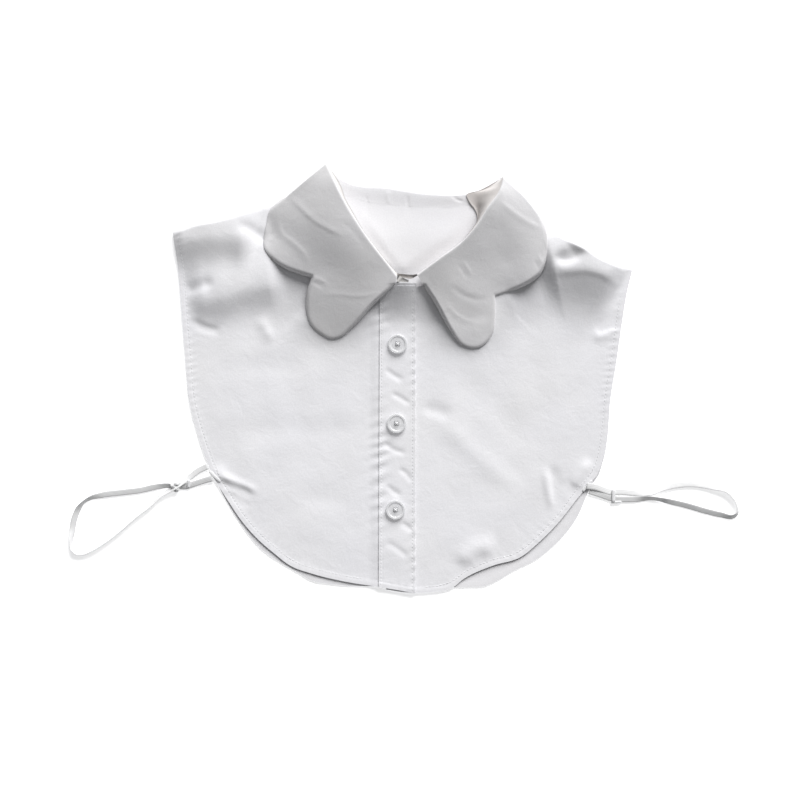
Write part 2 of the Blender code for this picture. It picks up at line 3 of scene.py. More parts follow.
import bpy
import numpy as np
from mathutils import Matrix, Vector


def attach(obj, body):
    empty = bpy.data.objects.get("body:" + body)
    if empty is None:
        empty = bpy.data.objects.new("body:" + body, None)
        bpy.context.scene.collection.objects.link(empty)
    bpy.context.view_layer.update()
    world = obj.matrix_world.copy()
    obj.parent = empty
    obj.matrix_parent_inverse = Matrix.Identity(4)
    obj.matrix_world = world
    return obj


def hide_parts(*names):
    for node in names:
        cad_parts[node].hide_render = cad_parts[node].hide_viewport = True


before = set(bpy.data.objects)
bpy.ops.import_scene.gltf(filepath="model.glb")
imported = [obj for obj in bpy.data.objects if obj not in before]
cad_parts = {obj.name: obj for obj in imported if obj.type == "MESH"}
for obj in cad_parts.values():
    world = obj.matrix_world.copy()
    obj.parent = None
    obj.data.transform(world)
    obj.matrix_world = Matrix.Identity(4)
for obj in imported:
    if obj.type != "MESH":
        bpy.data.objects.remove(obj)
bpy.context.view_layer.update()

MM = 0.001

# Camera: looks straight down on the garment, with the neck at the top of the picture.
PICTURE_CENTRE = (-1.85 * MM, -15.91 * MM)
PICTURE_WIDTH = 592.0 * MM
CAMERA_HEIGHT = 1.5
CLOTH_LEVEL = 6.0 * MM

camera_data = bpy.data.cameras.new("camera")
camera_data.sensor_fit = "HORIZONTAL"
camera_data.sensor_width = 36.0
camera_data.lens = 36.0 * (CAMERA_HEIGHT - CLOTH_LEVEL) / PICTURE_WIDTH
camera_data.clip_start = 0.1
camera_data.clip_end = 50.0
camera = bpy.data.objects.new("camera", camera_data)
camera.location = (*PICTURE_CENTRE, CAMERA_HEIGHT)
bpy.context.scene.collection.objects.link(camera)
bpy.context.scene.camera = camera


# Side elastics: a flat woven elastic ribbon at each side, tied or stitched back on itself so that it makes
# a loop for the arm. Each is one length of ribbon, sewn to the front hem and to the back hem, and lies on
# the table.
ELASTIC_WIDTH = 4.6 * MM
ELASTIC_THICKNESS = 0.8 * MM
# Painted shade: the ribbon is white, and this grey stands in for the shadows along its edges and on the table
# beside it.
ELASTIC_COLOUR_PAINTED_SHADE = (0.68, 0.68, 0.69, 1.0)
# Each row a point of the route: x, y, height of the middle, turn of the ribbon about its length in degrees
ELASTIC_LEFT = [
    (-140.9, -73.9, 2.4, 0), (-147.0, -75.6, 1.6, 6), (-155.0, -78.2, 1.2, 10), (-162.0, -80.2, 1.3, 20),
    (-168.0, -80.0, 2.0, 40), (-174.5, -79.4, 1.7, 30), (-182.0, -80.2, 1.3, 14), (-195.0, -82.9, 1.1, 8),
    (-209.0, -84.6, 1.1, 8), (-223.1, -86.4, 1.2, 12), (-232.7, -89.2, 1.6, 50), (-237.2, -92.2, 1.6, 62),
    (-240.6, -96.6, 1.3, 30), (-243.6, -104.0, 1.1, 12), (-245.2, -113.0, 1.1, 18), (-246.0, -120.0, 1.8, 55),
    (-245.2, -126.6, 1.9, 62), (-241.4, -129.4, 1.5, 40), (-236.0, -129.2, 1.4, 40), (-229.8, -126.9, 1.9, 62),
    (-218.7, -120.2, 2.1, 70), (-208.3, -112.1, 2.1, 72), (-196.5, -101.8, 2.1, 70), (-186.8, -94.3, 2.0, 64),
    (-178.7, -86.6, 1.9, 50), (-172.0, -82.6, 2.6, 40), (-168.0, -80.0, 3.4, 30), (-163.5, -76.8, 2.4, 20),
    (-157.2, -72.6, 1.5, 10), (-151.3, -68.2, 1.6, 6), (-144.6, -65.0, 2.0, 0)]
ELASTIC_RIGHT = [
    (136.6, -79.6, 3.2, 0), (143.0, -80.4, 2.6, 4), (149.6, -82.6, 1.6, 8), (154.8, -84.2, 1.5, 10),
    (158.4, -84.2, 1.6, 8), (164.0, -84.2, 1.3, 8), (170.0, -84.7, 1.1, 10), (178.0, -85.2, 1.3, 24),
    (184.6, -85.0, 1.8, 52), (190.6, -82.5, 1.5, 34), (197.9, -80.3, 1.2, 20), (206.8, -78.7, 1.1, 14),
    (215.7, -78.4, 1.1, 14), (229.8, -80.6, 1.2, 24), (240.1, -83.2, 1.7, 56), (245.6, -88.4, 1.9, 64),
    (248.6, -95.0, 1.9, 66), (248.4, -100.2, 1.9, 60), (244.6, -102.6, 1.6, 44), (237.0, -101.2, 1.3, 24),
    (225.3, -98.4, 1.2, 18), (210.9, -94.2, 1.2, 20), (198.0, -91.2, 1.3, 26), (190.6, -89.6, 1.7, 48),
    (182.4, -88.8, 1.6, 44), (174.0, -89.4, 1.3, 12), (164.0, -89.6, 1.3, 8), (158.4, -89.4, 1.6, 8),
    (154.8, -88.8, 1.5, 8), (149.6, -87.0, 1.4, 6), (144.4, -85.2, 1.5, 2), (138.6, -83.4, 1.6, 0)]


def smooth_line(rows, shares):
    """Points at the given shares of the length of a line that runs through the rows, a cubic between each
    two rows whose slope at a row is the mean slope of its neighbours."""
    points = np.array(rows, float)
    knots = np.concatenate(([0.0], np.cumsum(np.linalg.norm(np.diff(points[:, :3], axis=0), axis=1))))
    slopes = np.gradient(points, knots, axis=0)
    fine = np.linspace(0.0, knots[-1], 60 * len(rows))
    span = np.clip(np.searchsorted(knots, fine, side="right") - 1, 0, len(rows) - 2)
    width = (knots[span + 1] - knots[span])[:, None]
    t = (fine - knots[span])[:, None] / width
    line = ((2 * t**3 - 3 * t**2 + 1) * points[span] + (t**3 - 2 * t**2 + t) * width * slopes[span]
            + (3 * t**2 - 2 * t**3) * points[span + 1] + (t**3 - t**2) * width * slopes[span + 1])
    length = np.concatenate(([0.0], np.cumsum(np.linalg.norm(np.diff(line[:, :3], axis=0), axis=1))))
    return np.stack([np.interp(np.asarray(shares) * length[-1], length, column) for column in line.T], axis=1)


def piece_from(name, points, faces, uv, material):
    """Smooth mesh of points in metres, with a UV map of metres on the cloth, on the one body of the part."""
    mesh = bpy.data.meshes.new(name)
    mesh.from_pydata(points.tolist(), [], faces)
    layer = mesh.uv_layers.new(name="cloth")
    corner = np.empty(len(mesh.loops), dtype=np.int32)
    mesh.loops.foreach_get("vertex_index", corner)
    layer.data.foreach_set("uv", np.asarray(uv, dtype=np.float32)[corner].ravel())
    mesh.shade_smooth()
    mesh.materials.append(material)
    piece = bpy.data.objects.new(name, mesh)
    bpy.context.scene.collection.objects.link(piece)
    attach(piece, "root")
    return piece


def carried(path, half_width, half_height, turn, around=16):
    """Closed tube: at each path point a rounded rectangle, |a/half_width|^3 + |b/half_height|^3 = 1, its
    width level and square to the path, then turned about the path by turn."""
    run = np.gradient(path, axis=0)
    run /= np.linalg.norm(run, axis=1)[:, None]
    side = np.stack([run[:, 1], -run[:, 0], np.zeros(len(run))], axis=1)
    side /= np.linalg.norm(side, axis=1)[:, None]
    up = np.cross(side, run)
    up *= np.sign(up[:, 2:3] + 1e-9)
    cos, sin = np.cos(turn)[:, None], np.sin(turn)[:, None]
    wide, high = side * cos + up * sin, up * cos - side * sin
    angle = np.arange(around) * 2 * math.pi / around
    a = np.sign(np.cos(angle)) * np.abs(np.cos(angle)) ** (2 / 3)
    b = np.sign(np.sin(angle)) * np.abs(np.sin(angle)) ** (2 / 3)
    points = (path[:, None] + wide[:, None] * a[None, :, None] * np.asarray(half_width).reshape(-1, 1, 1)
              + high[:, None] * b[None, :, None] * np.asarray(half_height).reshape(-1, 1, 1)).reshape(-1, 3)
    count = len(path)
    index = np.arange(count * around).reshape(count, around)
    faces = np.stack([index[:-1], np.roll(index, -1, 1)[:-1], np.roll(index, -1, 1)[1:], index[1:]],
                     axis=-1).reshape(-1, 4)
    ends = np.array([points[index[0]].mean(0), points[index[-1]].mean(0)])
    points = np.concatenate([points, ends])
    first = np.stack([np.roll(index[0], -1), index[0], np.full(around, count * around)], axis=1)
    last = np.stack([index[-1], np.roll(index[-1], -1), np.full(around, count * around + 1)], axis=1)
    faces = faces.tolist() + first.tolist() + last.tolist()
    along = np.concatenate(([0.0], np.cumsum(np.linalg.norm(np.diff(path, axis=0), axis=1))))
    across = angle / (2 * math.pi) * 2 * (np.mean(half_width) + np.mean(half_height)) * 2
    uv = np.stack(np.broadcast_arrays(across[None, :], along[:, None]), axis=-1).reshape(-1, 2)
    return points, faces, np.concatenate([uv, uv[:1], uv[-1:]])


def wired(material, kind, inputs=(), **settings):
    """New node of that kind; each input is a name or number of a socket with a value or another's output."""
    node = material.node_tree.nodes.new(kind)
    for key, value in settings.items():
        setattr(node, key, value)
    for socket, value in inputs:
        if isinstance(value, bpy.types.NodeSocket):
            material.node_tree.links.new(value, node.inputs[socket])
        else:
            node.inputs[socket].default_value = value
    return node


def plain(name, colour, roughness, sheen=0.0):
    """Material with a Principled shader set to one roughness and sheen, to be given its pattern."""
    material = bpy.data.materials.new(name)
    material.use_nodes = True
    shader = material.node_tree.nodes["Principled BSDF"]
    shader.inputs["Base Color"].default_value = colour
    shader.inputs["Roughness"].default_value = roughness
    shader.inputs["Sheen Weight"].default_value = sheen
    shader.inputs["Sheen Roughness"].default_value = 0.6
    shader.inputs["Specular IOR Level"].default_value = 0.25
    return material, shader


def elastic_finish(name):
    """Ribs along the ribbon 0.55 mm apart, crossed by picks 0.7 mm apart, and a slow change of tone; its grey
    is painted shade on a white ribbon.
    """
    material, shader = plain(name, ELASTIC_COLOUR_PAINTED_SHADE, 0.85, 0.15)
    place = wired(material, "ShaderNodeUVMap", uv_map="cloth").outputs["UV"]
    ribs = wired(material, "ShaderNodeTexWave", [("Vector", place), ("Scale", 1 / (0.55 * MM) / 3.2)],
                 bands_direction="X").outputs["Fac"]
    picks = wired(material, "ShaderNodeTexWave", [("Vector", place), ("Scale", 1 / (0.7 * MM) / 3.2)],
                  bands_direction="Y").outputs["Fac"]
    both = wired(material, "ShaderNodeMath", [(0, ribs), (1, picks)], operation="ADD").outputs[0]
    slow = wired(material, "ShaderNodeTexNoise", [("Vector", place), ("Scale", 90.0)]).outputs["Fac"]
    tone = wired(material, "ShaderNodeMix", [(0, slow), (6, (0.6, 0.6, 0.61, 1.0)),
                                             (7, (0.76, 0.76, 0.755, 1.0))], data_type="RGBA")
    material.node_tree.links.new(tone.outputs[2], shader.inputs["Base Color"])
    bump = wired(material, "ShaderNodeBump", [("Strength", 0.5), ("Distance", 0.15 * MM), ("Height", both)])
    material.node_tree.links.new(bump.outputs["Normal"], shader.inputs["Normal"])
    return material


ELASTIC_FINISH_PAINTED_SHADE = elastic_finish("woven_elastic_painted_shade")


def elastic(name, rows, nodes):
    """Ribbon along its route, turned about its length, and lifted where it stands on its edge."""
    table = np.array(rows, float)
    table[:, :3] *= MM
    length = np.sum(np.linalg.norm(np.diff(table[:, :3], axis=0), axis=1))
    line = smooth_line(table, np.linspace(0.0, 1.0, int(length / (1.0 * MM))))
    turn = np.radians(line[:, 3])
    path = line[:, :3].copy()
    reach = ELASTIC_WIDTH / 2 * np.abs(np.sin(turn)) + ELASTIC_THICKNESS / 2 * np.cos(turn)
    path[:, 2] = np.maximum(path[:, 2], reach + 0.05 * MM)
    points, faces, uv = carried(path, ELASTIC_WIDTH / 2, ELASTIC_THICKNESS / 2, turn)
    piece = piece_from(name, points, faces, uv, ELASTIC_FINISH_PAINTED_SHADE)
    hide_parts(*nodes)
    return piece


def thread_finish():
    """Twisted white sewing thread: slanting turns 0.5 mm apart."""
    material, shader = plain("sewing_thread", (0.7, 0.7, 0.71, 1.0), 0.7, 0.2)
    place = wired(material, "ShaderNodeUVMap", uv_map="cloth").outputs["UV"]
    ply = wired(material, "ShaderNodeTexWave", [("Vector", place), ("Scale", 1 / (0.5 * MM) / 3.2)],
                bands_direction="DIAGONAL").outputs["Fac"]
    tone = wired(material, "ShaderNodeMix", [(0, ply), (6, (0.6, 0.6, 0.62, 1.0)), (7, (0.8, 0.8, 0.8, 1.0))],
                 data_type="RGBA")
    material.node_tree.links.new(tone.outputs[2], shader.inputs["Base Color"])
    bump = wired(material, "ShaderNodeBump", [("Strength", 0.5), ("Distance", 0.05 * MM), ("Height", ply)])
    material.node_tree.links.new(bump.outputs["Normal"], shader.inputs["Normal"])
    return material


THREAD = thread_finish()

# The left loop is held by an overhand knot, the ribbon crossing over and under itself three times
KNOT_CENTRE = (-168.0, -80.0, 2.9)
KNOT_REACH = 3.2
t = np.linspace(0.25, 2 * math.pi + 0.15, 90)
path = np.stack([(np.sin(t) + 2 * np.sin(2 * t)) / 3 * KNOT_REACH,
                 (np.cos(t) - 2 * np.cos(2 * t)) / 3 * KNOT_REACH, -1.15 * np.sin(3 * t)], axis=1) + KNOT_CENTRE
points, faces, uv = carried(path * MM, 1.25 * MM, 0.5 * MM, 0.35 * np.sin(3 * t))
knot = piece_from("knot_left_ribbon", points, faces, uv, ELASTIC_FINISH_PAINTED_SHADE)
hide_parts("knot_left")

# A bar tack binds the left ribbon beside its knot; the right loop is closed by one across both runs, with a
# second short one at its foot
TACKS = [("elastic_left_tab", (-158.6, -75.2, 2.3), (-158.6, -81.0, 2.1), 1.2, 0.7),
         ("join_right_tack", (156.5, -82.2, 2.3), (156.5, -91.6, 2.2), 1.3, 0.75),
         ("join_right_foot", (154.6, -91.9, 1.5), (162.6, -91.5, 1.4), 0.9, 0.7)]
for name, start, end, half_width, half_height in TACKS:
    share = np.linspace(0.0, 1.0, 60)
    path = np.array(start) * (1 - share[:, None]) + np.array(end) * share[:, None]
    swell = 1 + 0.1 * np.cos(share * 2 * math.pi * 15)
    tip = np.sqrt(1 - 0.9 * (2 * share - 1) ** 8)
    points, faces, uv = carried(path * MM, half_width * swell * tip * MM, half_height * swell * tip * MM,
                                share * 0)
    piece_from(name, points, faces, uv, THREAD)
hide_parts("join_right")

elastic("elastic_left", ELASTIC_LEFT, ["strap_left_front", "strap_left_back", "strap_left_loop"])
elastic("elastic_right", ELASTIC_RIGHT, ["strap_right_front", "strap_right_back", "strap_right_loop"])


# Back panel: the back bib of white cotton poplin, which lies face down under the fronts. Inside the neck
# its inner face shows; its hem shows as a thin edge at the left armhole and as a band at the lower right.
CLOTH = 1.0 * MM
LAYER = 1.3 * MM
BACK_THICKNESS = 0.5 * MM
BACK_FALL_CENTRE = (2.6, 259.4)
BACK_FALL_RADIUS = 175.4
BACK_SEAM = [(-53.6, 143.2), (-42.5, 136.5), (-26.3, 131.3), (-9.2, 129.1), (20.4, 126.9), (46.2, 128.4),
             (64.8, 134.3), (72.0, 139.5)]
BACK_SHOULDER_LEFT = [(-169.4, 108.6), (-153.6, 114.4), (-124.0, 121.0), (-101.8, 126.5), (-87.0, 131.0),
                      (-72.2, 139.5), (-53.6, 146.2)]
BACK_SHOULDER_RIGHT = [(72.0, 142.5), (84.0, 131.8), (94.3, 120.8), (106.0, 107.4), (115.1, 106.9),
                       (135.1, 97.3), (158.0, 84.7), (169.4, 78.9)]
BACK_ARMHOLE_LEFT = [(-169.4, 108.6), (-166.1, 84.0), (-163.9, 58.1), (-160.9, 21.1), (-157.2, -21.8),
                     (-154.3, -30.7), (-148.4, -47.7), (-143.9, -62.5)]
BACK_ARMHOLE_RIGHT = [(169.4, 78.9), (166.1, 65.5), (162.4, 43.3), (158.7, 17.4), (154.3, -15.9),
                      (152.1, -45.5), (150.6, -55.1), (146.2, -70.7)]
BACK_HEM = [(-143.9, -62.5), (-135.1, -82.5), (-118.8, -109.9), (-106.9, -124.7), (-78.1, -143.9),
            (-66.2, -150.6), (-57.4, -152.1), (-1.9, -154.3), (50.0, -154.7), (60.3, -154.3), (72.2, -149.1),
            (81.8, -143.2), (99.5, -134.3), (109.2, -126.9), (121.7, -114.3), (129.9, -102.5),
            (138.8, -82.5), (146.2, -70.7)]

# Each row a crease that runs down from the neck seam, as a row of the fronts' folds below
NECK_CREASES = [
    (-0.45, 1.0, 1.6, 0.3, [(-26.0, 137.0), (-26.6, 131.0), (-26.0, 119.0)]),
    (-0.4, 1.2, 1.2, 0.3, [(4.0, 138.0), (3.6, 132.0), (4.6, 120.0)]),
    (-0.35, 1.2, 1.0, 0.3, [(36.0, 137.0), (40.0, 133.0), (46.0, 131.0)]),
    (0.3, 1.6, 1.6, 0.3, [(-10.0, 140.0), (-11.0, 134.0), (-10.0, 129.0)]),
    (-0.5, 1.6, 2.2, 0.3, [(50.0, 137.0), (53.0, 132.0), (56.0, 129.0)]),
    (-0.5, 1.6, 1.6, 0.3, [(58.0, 139.0), (60.0, 134.0), (61.0, 130.0)])]

# The collar's fold from the V up to each neck peak, and how high the back's cloth stands up inside it
FOLD_LEFT = [(-4.1, 75.8), (-27.0, 105.5), (-40.3, 126.2), (-56.6, 159.5)]
FOLD_RIGHT = [(10.7, 76.6), (27.0, 88.4), (44.0, 101.0), (54.4, 112.8), (62.5, 125.4), (70.7, 137.3),
              (74.4, 149.8)]
NECK_SIDES = [FOLD_LEFT[:3], FOLD_RIGHT[:4]]
NECK_LIFT = 1.7


def steps(count, power=1.0):
    """Shares from 0 to 1 in count steps, crowded towards 0 where power is over 1."""
    return np.linspace(0.0, 1.0, count + 1) ** power


def joined(*lines):
    """One line from several that follow each other, each shared point kept once."""
    return np.concatenate([lines[0]] + [line[1:] for line in lines[1:]])


def patch(top, bottom, left, right, rows):
    """Grid of plan points between four edges: the blend of top and bottom down the rows, plus the blend of
    left and right across them, less the blend of the four corners."""
    u = np.linspace(0.0, 1.0, len(top))[None, :, None]
    v = np.asarray(rows)[:, None, None]
    corners = ((1 - u) * (1 - v) * top[0] + u * (1 - v) * top[-1]
               + (1 - u) * v * bottom[0] + u * v * bottom[-1])
    return ((1 - v) * top[None] + v * bottom[None]
            + (1 - u) * left[:, None] + u * right[:, None] - corners)


def ease(low, high, value):
    """Smooth step, 3t^2 - 2t^3, from 0 at low to 1 at high."""
    t = np.clip((value - low) / (high - low), 0.0, 1.0)
    return t * t * (3 - 2 * t)


def nearest(x, y, line):
    """Distance of each point in plan to the line, negative on its right hand, and the length along it."""
    best = np.full(np.shape(x), np.inf)
    signed, along = np.zeros(np.shape(x)), np.zeros(np.shape(x))
    passed = 0.0
    for start, end in zip(line[:-1], line[1:]):
        run = end - start
        length = math.hypot(*run)
        share = np.clip(((x - start[0]) * run[0] + (y - start[1]) * run[1]) / max(length**2, 1e-12), 0, 1)
        dx, dy = x - start[0] - share * run[0], y - start[1] - share * run[1]
        away = np.hypot(dx, dy)
        closer = away < best
        best = np.where(closer, away, best)
        signed = np.where(closer, away * np.where(run[0] * dy - run[1] * dx < 0, -1.0, 1.0), signed)
        along = np.where(closer, passed + share * length, along)
        passed += length
    return signed, along


def roll(distance, radius):
    """Quarter-round rise from 0 at an edge to 1 at the radius."""
    return np.sqrt(1.0 - (1.0 - np.clip(distance / radius, 0.0, 1.0)) ** 2)


def folds(x, y, table):
    """Sum of soft crests and troughs. Across its line each is a bell exp(-(d/w)^2) with its own half width
    w on either hand, and it fades in and out over a share of the line's length."""
    height = np.zeros(np.shape(x))
    for crest, hand_left, hand_right, fade, rows in table:
        line = smooth_line(rows, steps(24))
        signed, along = nearest(x, y, line)
        length = np.sum(np.hypot(*np.diff(line, axis=0).T))
        bell = np.exp(-((signed / np.where(signed > 0, hand_left, hand_right)) ** 2))
        height += crest * bell * ease(0.0, fade, along / length) * ease(0.0, fade, 1 - along / length)
    return height


def unevenness(x, y, seed, size, reach):
    """Gentle lie of the cloth: seven waves of lengths from reach/2 to 2*reach in all directions."""
    draw = np.random.default_rng(seed)
    height = np.zeros(np.shape(x))
    for _ in range(7):
        turn = draw.uniform(0, math.pi)
        wave = reach * 2 ** draw.uniform(-1, 1)
        start = draw.uniform(0, 2 * math.pi)
        height += np.sin(2 * math.pi * (x * math.cos(turn) + y * math.sin(turn)) / wave + start) * wave / reach
    return height * size / 3.5


def puckers(signed, along, size, pitch, reach, seed):
    """Small gathers across a stitched line: a wave of that pitch whose height and pace drift along the line,
    dying away with exp(-(d/reach)^2)."""
    draw = np.random.default_rng(seed)
    a, b, c = draw.uniform(0, 2 * math.pi, 3)
    pace = 2 * math.pi * along / pitch + 1.3 * np.sin(along / 17.0 + a) + 0.9 * np.sin(along / 7.3 + b)
    strength = 0.55 + 0.45 * np.sin(along / 23.0 + c)
    return size * strength * np.sin(pace + signed * 0.25) * np.exp(-((signed / reach) ** 2))


def shell(name, plan, height, thickness, material, grain=0.0):
    """Closed thin wall: the grid of plan points at its heights, the same grid one thickness lower, and a
    crisp rim. Its UV map is the plan in metres, turned by the grain."""
    rows, columns = height.shape
    count = rows * columns
    top = np.dstack([plan, height]) * MM
    low = top - np.array((0.0, 0.0, thickness))
    points = np.concatenate([top.reshape(-1, 3), low.reshape(-1, 3)])
    index = np.arange(count).reshape(rows, columns)
    upper = np.stack([index[1:, :-1], index[1:, 1:], index[:-1, 1:], index[:-1, :-1]], axis=-1).reshape(-1, 4)
    ring = np.concatenate([index[0, ::-1], index[1:, 0], index[-1, 1:], index[-2:0:-1, -1]])
    rim = np.stack([ring, ring + count, np.roll(ring, -1) + count, np.roll(ring, -1)], axis=1)
    first = points[upper[len(upper) // 2]]
    faces = np.concatenate([upper, upper[:, ::-1] + count, rim])
    if np.cross(first[1] - first[0], first[3] - first[0])[2] < 0:
        faces = faces[:, ::-1]
    cos, sin = math.cos(grain), math.sin(grain)
    flat = points[:, :2] @ np.array([[cos, sin], [-sin, cos]])
    piece = piece_from(name, points, faces.tolist(), flat, material)
    ends = np.empty(2 * len(piece.data.edges), dtype=np.int32)
    piece.data.edges.foreach_get("vertices", ends)
    ends = ends.reshape(-1, 2)
    on_rim = np.zeros(2 * count, dtype=bool)
    on_rim[np.concatenate([ring, ring + count])] = True
    one_wall = (ends[:, 0] < count) == (ends[:, 1] < count)
    piece.data.edges.foreach_set("use_edge_sharp", on_rim[ends].all(axis=1) & one_wall)
    return piece


def poplin_finish(name, colour, warm, crumple, grain_depth):
    """White plain weave: threads 0.3 mm apart both ways, yarn slubs, a slow drift from cool to warm white,
    and a faint crumple 3 to 12 mm wide."""
    material, shader = plain(name, colour, 0.9, 0.25)
    cloth = wired(material, "ShaderNodeUVMap", uv_map="cloth").outputs["UV"]
    place = wired(material, "ShaderNodeTexCoord").outputs["Object"]
    warp = wired(material, "ShaderNodeTexWave", [("Vector", cloth), ("Scale", 1 / (0.3 * MM) / 3.2),
                                                 ("Distortion", 0.6), ("Detail", 1.0)],
                 bands_direction="X").outputs["Fac"]
    weft = wired(material, "ShaderNodeTexWave", [("Vector", cloth), ("Scale", 1 / (0.33 * MM) / 3.2),
                                                 ("Distortion", 0.6), ("Detail", 1.0)],
                 bands_direction="Y").outputs["Fac"]
    weave = wired(material, "ShaderNodeMath", [(0, warp), (1, weft)], operation="MULTIPLY").outputs[0]
    slubs = wired(material, "ShaderNodeTexNoise", [("Vector", cloth), ("Scale", 900.0), ("Detail", 3.0)])
    drift = wired(material, "ShaderNodeTexNoise", [("Vector", place), ("Scale", 16.0), ("Detail", 2.0)])
    tone = wired(material, "ShaderNodeMix", [(0, drift.outputs["Fac"]), (6, colour), (7, warm)],
                 data_type="RGBA")
    fleck = wired(material, "ShaderNodeMapRange", [("Value", slubs.outputs["Fac"]), ("From Min", 0.3),
                                                   ("From Max", 0.7), ("To Min", 0.955), ("To Max", 1.03)])
    spun = wired(material, "ShaderNodeMix", [(0, 1.0), (6, tone.outputs[2]), (7, fleck.outputs["Result"])],
                 data_type="RGBA", blend_type="MULTIPLY")
    material.node_tree.links.new(spun.outputs[2], shader.inputs["Base Color"])
    creased = wired(material, "ShaderNodeTexNoise", [("Vector", place), ("Scale", 90.0), ("Detail", 4.0),
                                                     ("Roughness", 0.6), ("Distortion", 0.4)])
    rumpled = wired(material, "ShaderNodeBump", [("Strength", 1.0), ("Distance", crumple),
                                                 ("Height", creased.outputs["Fac"])])
    woven = wired(material, "ShaderNodeBump", [("Strength", 0.6), ("Distance", grain_depth), ("Height", weave),
                                               ("Normal", rumpled.outputs["Normal"])])
    material.node_tree.links.new(woven.outputs["Normal"], shader.inputs["Normal"])
    return material


def back_top(x, y):
    """Upper surface of the back panel, raised one layer where the back of the collar lies under it."""
    reach = np.hypot(x - BACK_FALL_CENTRE[0], y - BACK_FALL_CENTRE[1]) - BACK_FALL_RADIUS
    return (CLOTH + LAYER * ease(44.0, 14.0, reach)) / MM


def shoulder_seam(x, y):
    """Height of the shoulder seams, which the puffed cloth holds off the table: highest midway along each
    shoulder and down to the layers' own height at the armholes."""
    puff = np.where(x < 0, 2.2 * ease(-172.0, -145.0, x), 4.6 * ease(172.0, 140.0, x))
    return back_top(x, y) + 0.9 + puff * ease(60.0, 95.0, np.abs(x))


POPLIN_INSIDE = poplin_finish("poplin_inside", (0.69, 0.686, 0.715, 1.0), (0.71, 0.7, 0.705, 1.0),
                              0.15 * MM, 0.02 * MM)
neck = np.array(BACK_SEAM[1:-1]) + (0.0, 3.0)
neck = [BACK_SHOULDER_LEFT[-1], *neck.tolist(), BACK_SHOULDER_RIGHT[0]]
back_edge = joined(smooth_line(BACK_ARMHOLE_LEFT, steps(60)), smooth_line(BACK_HEM, steps(80)),
                   smooth_line(BACK_ARMHOLE_RIGHT, steps(60))[::-1])
rows = steps(110)
plan = patch(joined(smooth_line(BACK_SHOULDER_LEFT, steps(50)), smooth_line(neck, steps(60)),
                    smooth_line(BACK_SHOULDER_RIGHT, steps(50))),
             smooth_line(BACK_HEM, steps(160)), smooth_line(BACK_ARMHOLE_LEFT, rows),
             smooth_line(BACK_ARMHOLE_RIGHT, rows), rows)
x, y = plan[..., 0], plan[..., 1]
signed, along = nearest(x, y, back_edge)
edge = np.abs(signed)
height = back_top(x, y) + 0.25 * ease(5.2, 4.4, edge) - 0.2 * np.exp(-(((edge - 4.0) / 0.6) ** 2))
height += puckers(edge - 4.0, along, 0.14, 6.0, 3.5, 3)
shoulders = joined(smooth_line(BACK_SHOULDER_LEFT, steps(40)), smooth_line(BACK_SHOULDER_RIGHT, steps(40)))
lifted = ease(26.0, 0.0, np.abs(nearest(x, y, shoulders)[0])) * ease(60.0, 95.0, np.abs(x))
height += (shoulder_seam(x, y) - back_top(x, y) - 0.9) * lifted
height += folds(x, y, NECK_CREASES) - 0.1 * ease(124.0, 128.0, y)
inside = [nearest(x, y, smooth_line(line, steps(30)))[0] for line in NECK_SIDES]
height += (NECK_LIFT * ease(1.0, 8.5, -inside[0]) * ease(1.0, 13.0, inside[1])
           * ease(76.0, 82.0, y) * ease(128.0, 100.0, y))
back_panel = shell("back_panel_cloth", plan, height - 0.15, BACK_THICKNESS, POPLIN_INSIDE)
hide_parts("back_panel")


# Fronts: the two halves of the bib, of the same poplin, lying face up on the back panel with the left over
# the right at the centre. Armhole and hem are turned under twice and stitched. Broad folds fan from the
# shoulders.
FRONT_THICKNESS = 0.5 * MM
FRONT_LAYER = 0.75
PUFF_REACH = 34.0
BODY_PUFF = 0.9
NECK_PUFF = 3.0
V_RAMP_START = 40.0
V_RAMP_LENGTH = 30.0
V_RAMP_RISE = 8.5
V_RAMP_WIDTH = 18.0
SHOULDER_LEFT = [(-170.6, 109.9), (-153.6, 115.8), (-136.5, 119.1), (-124.0, 122.5), (-112.1, 126.5),
                 (-101.8, 128.0), (-87.0, 132.5), (-72.2, 141.0)]
NECK_LEFT = [(-72.2, 141.0), (-62.5, 132.1), (-50.0, 118.8), (-35.9, 97.3), (-16.0, 74.0), (10.0, 70.0)]
ARMHOLE_LEFT = [(-170.6, 109.9), (-166.9, 84.0), (-164.7, 58.1), (-161.7, 21.1), (-157.2, -21.8),
                (-152.8, -38.1), (-146.9, -56.6), (-140.2, -73.6)]
HEM_LEFT = [(-140.2, -73.6), (-129.9, -89.9), (-118.8, -106.2), (-106.9, -119.5), (-95.8, -129.1),
            (-81.8, -139.5), (-67.0, -144.7), (-38.9, -151.3), (-18.9, -154.3), (10.0, -159.5)]
CENTRE_LEFT = [(10.0, 70.0), (9.6, -159.5)]
SHOULDER_RIGHT = [(84.0, 133.6), (94.3, 122.5), (101.8, 112.8), (107.6, 108.6), (115.1, 108.4),
                  (120.2, 105.5), (135.1, 98.8), (146.2, 91.4), (158.0, 86.2), (170.6, 80.3)]
NECK_RIGHT = [(-12.2, 64.8), (16.6, 69.2), (34.4, 80.3), (51.4, 92.9), (62.5, 105.5), (70.7, 118.0),
              (78.1, 126.9), (84.0, 133.6)]
ARMHOLE_RIGHT = [(170.6, 80.3), (166.9, 65.5), (163.2, 43.3), (159.5, 17.4), (154.3, -15.9), (151.3, -45.5),
                 (148.4, -60.3), (143.9, -72.2), (135.1, -81.0)]
HEM_RIGHT = [(-12.2, -156.5), (3.3, -158.7), (21.8, -158.4), (37.4, -155.0), (44.8, -149.1), (67.0, -138.8),
             (87.0, -132.8), (101.8, -121.0), (114.3, -108.4), (126.2, -93.6), (135.1, -81.0)]
CENTRE_RIGHT = [(-12.2, 64.8), (-12.2, -156.5)]
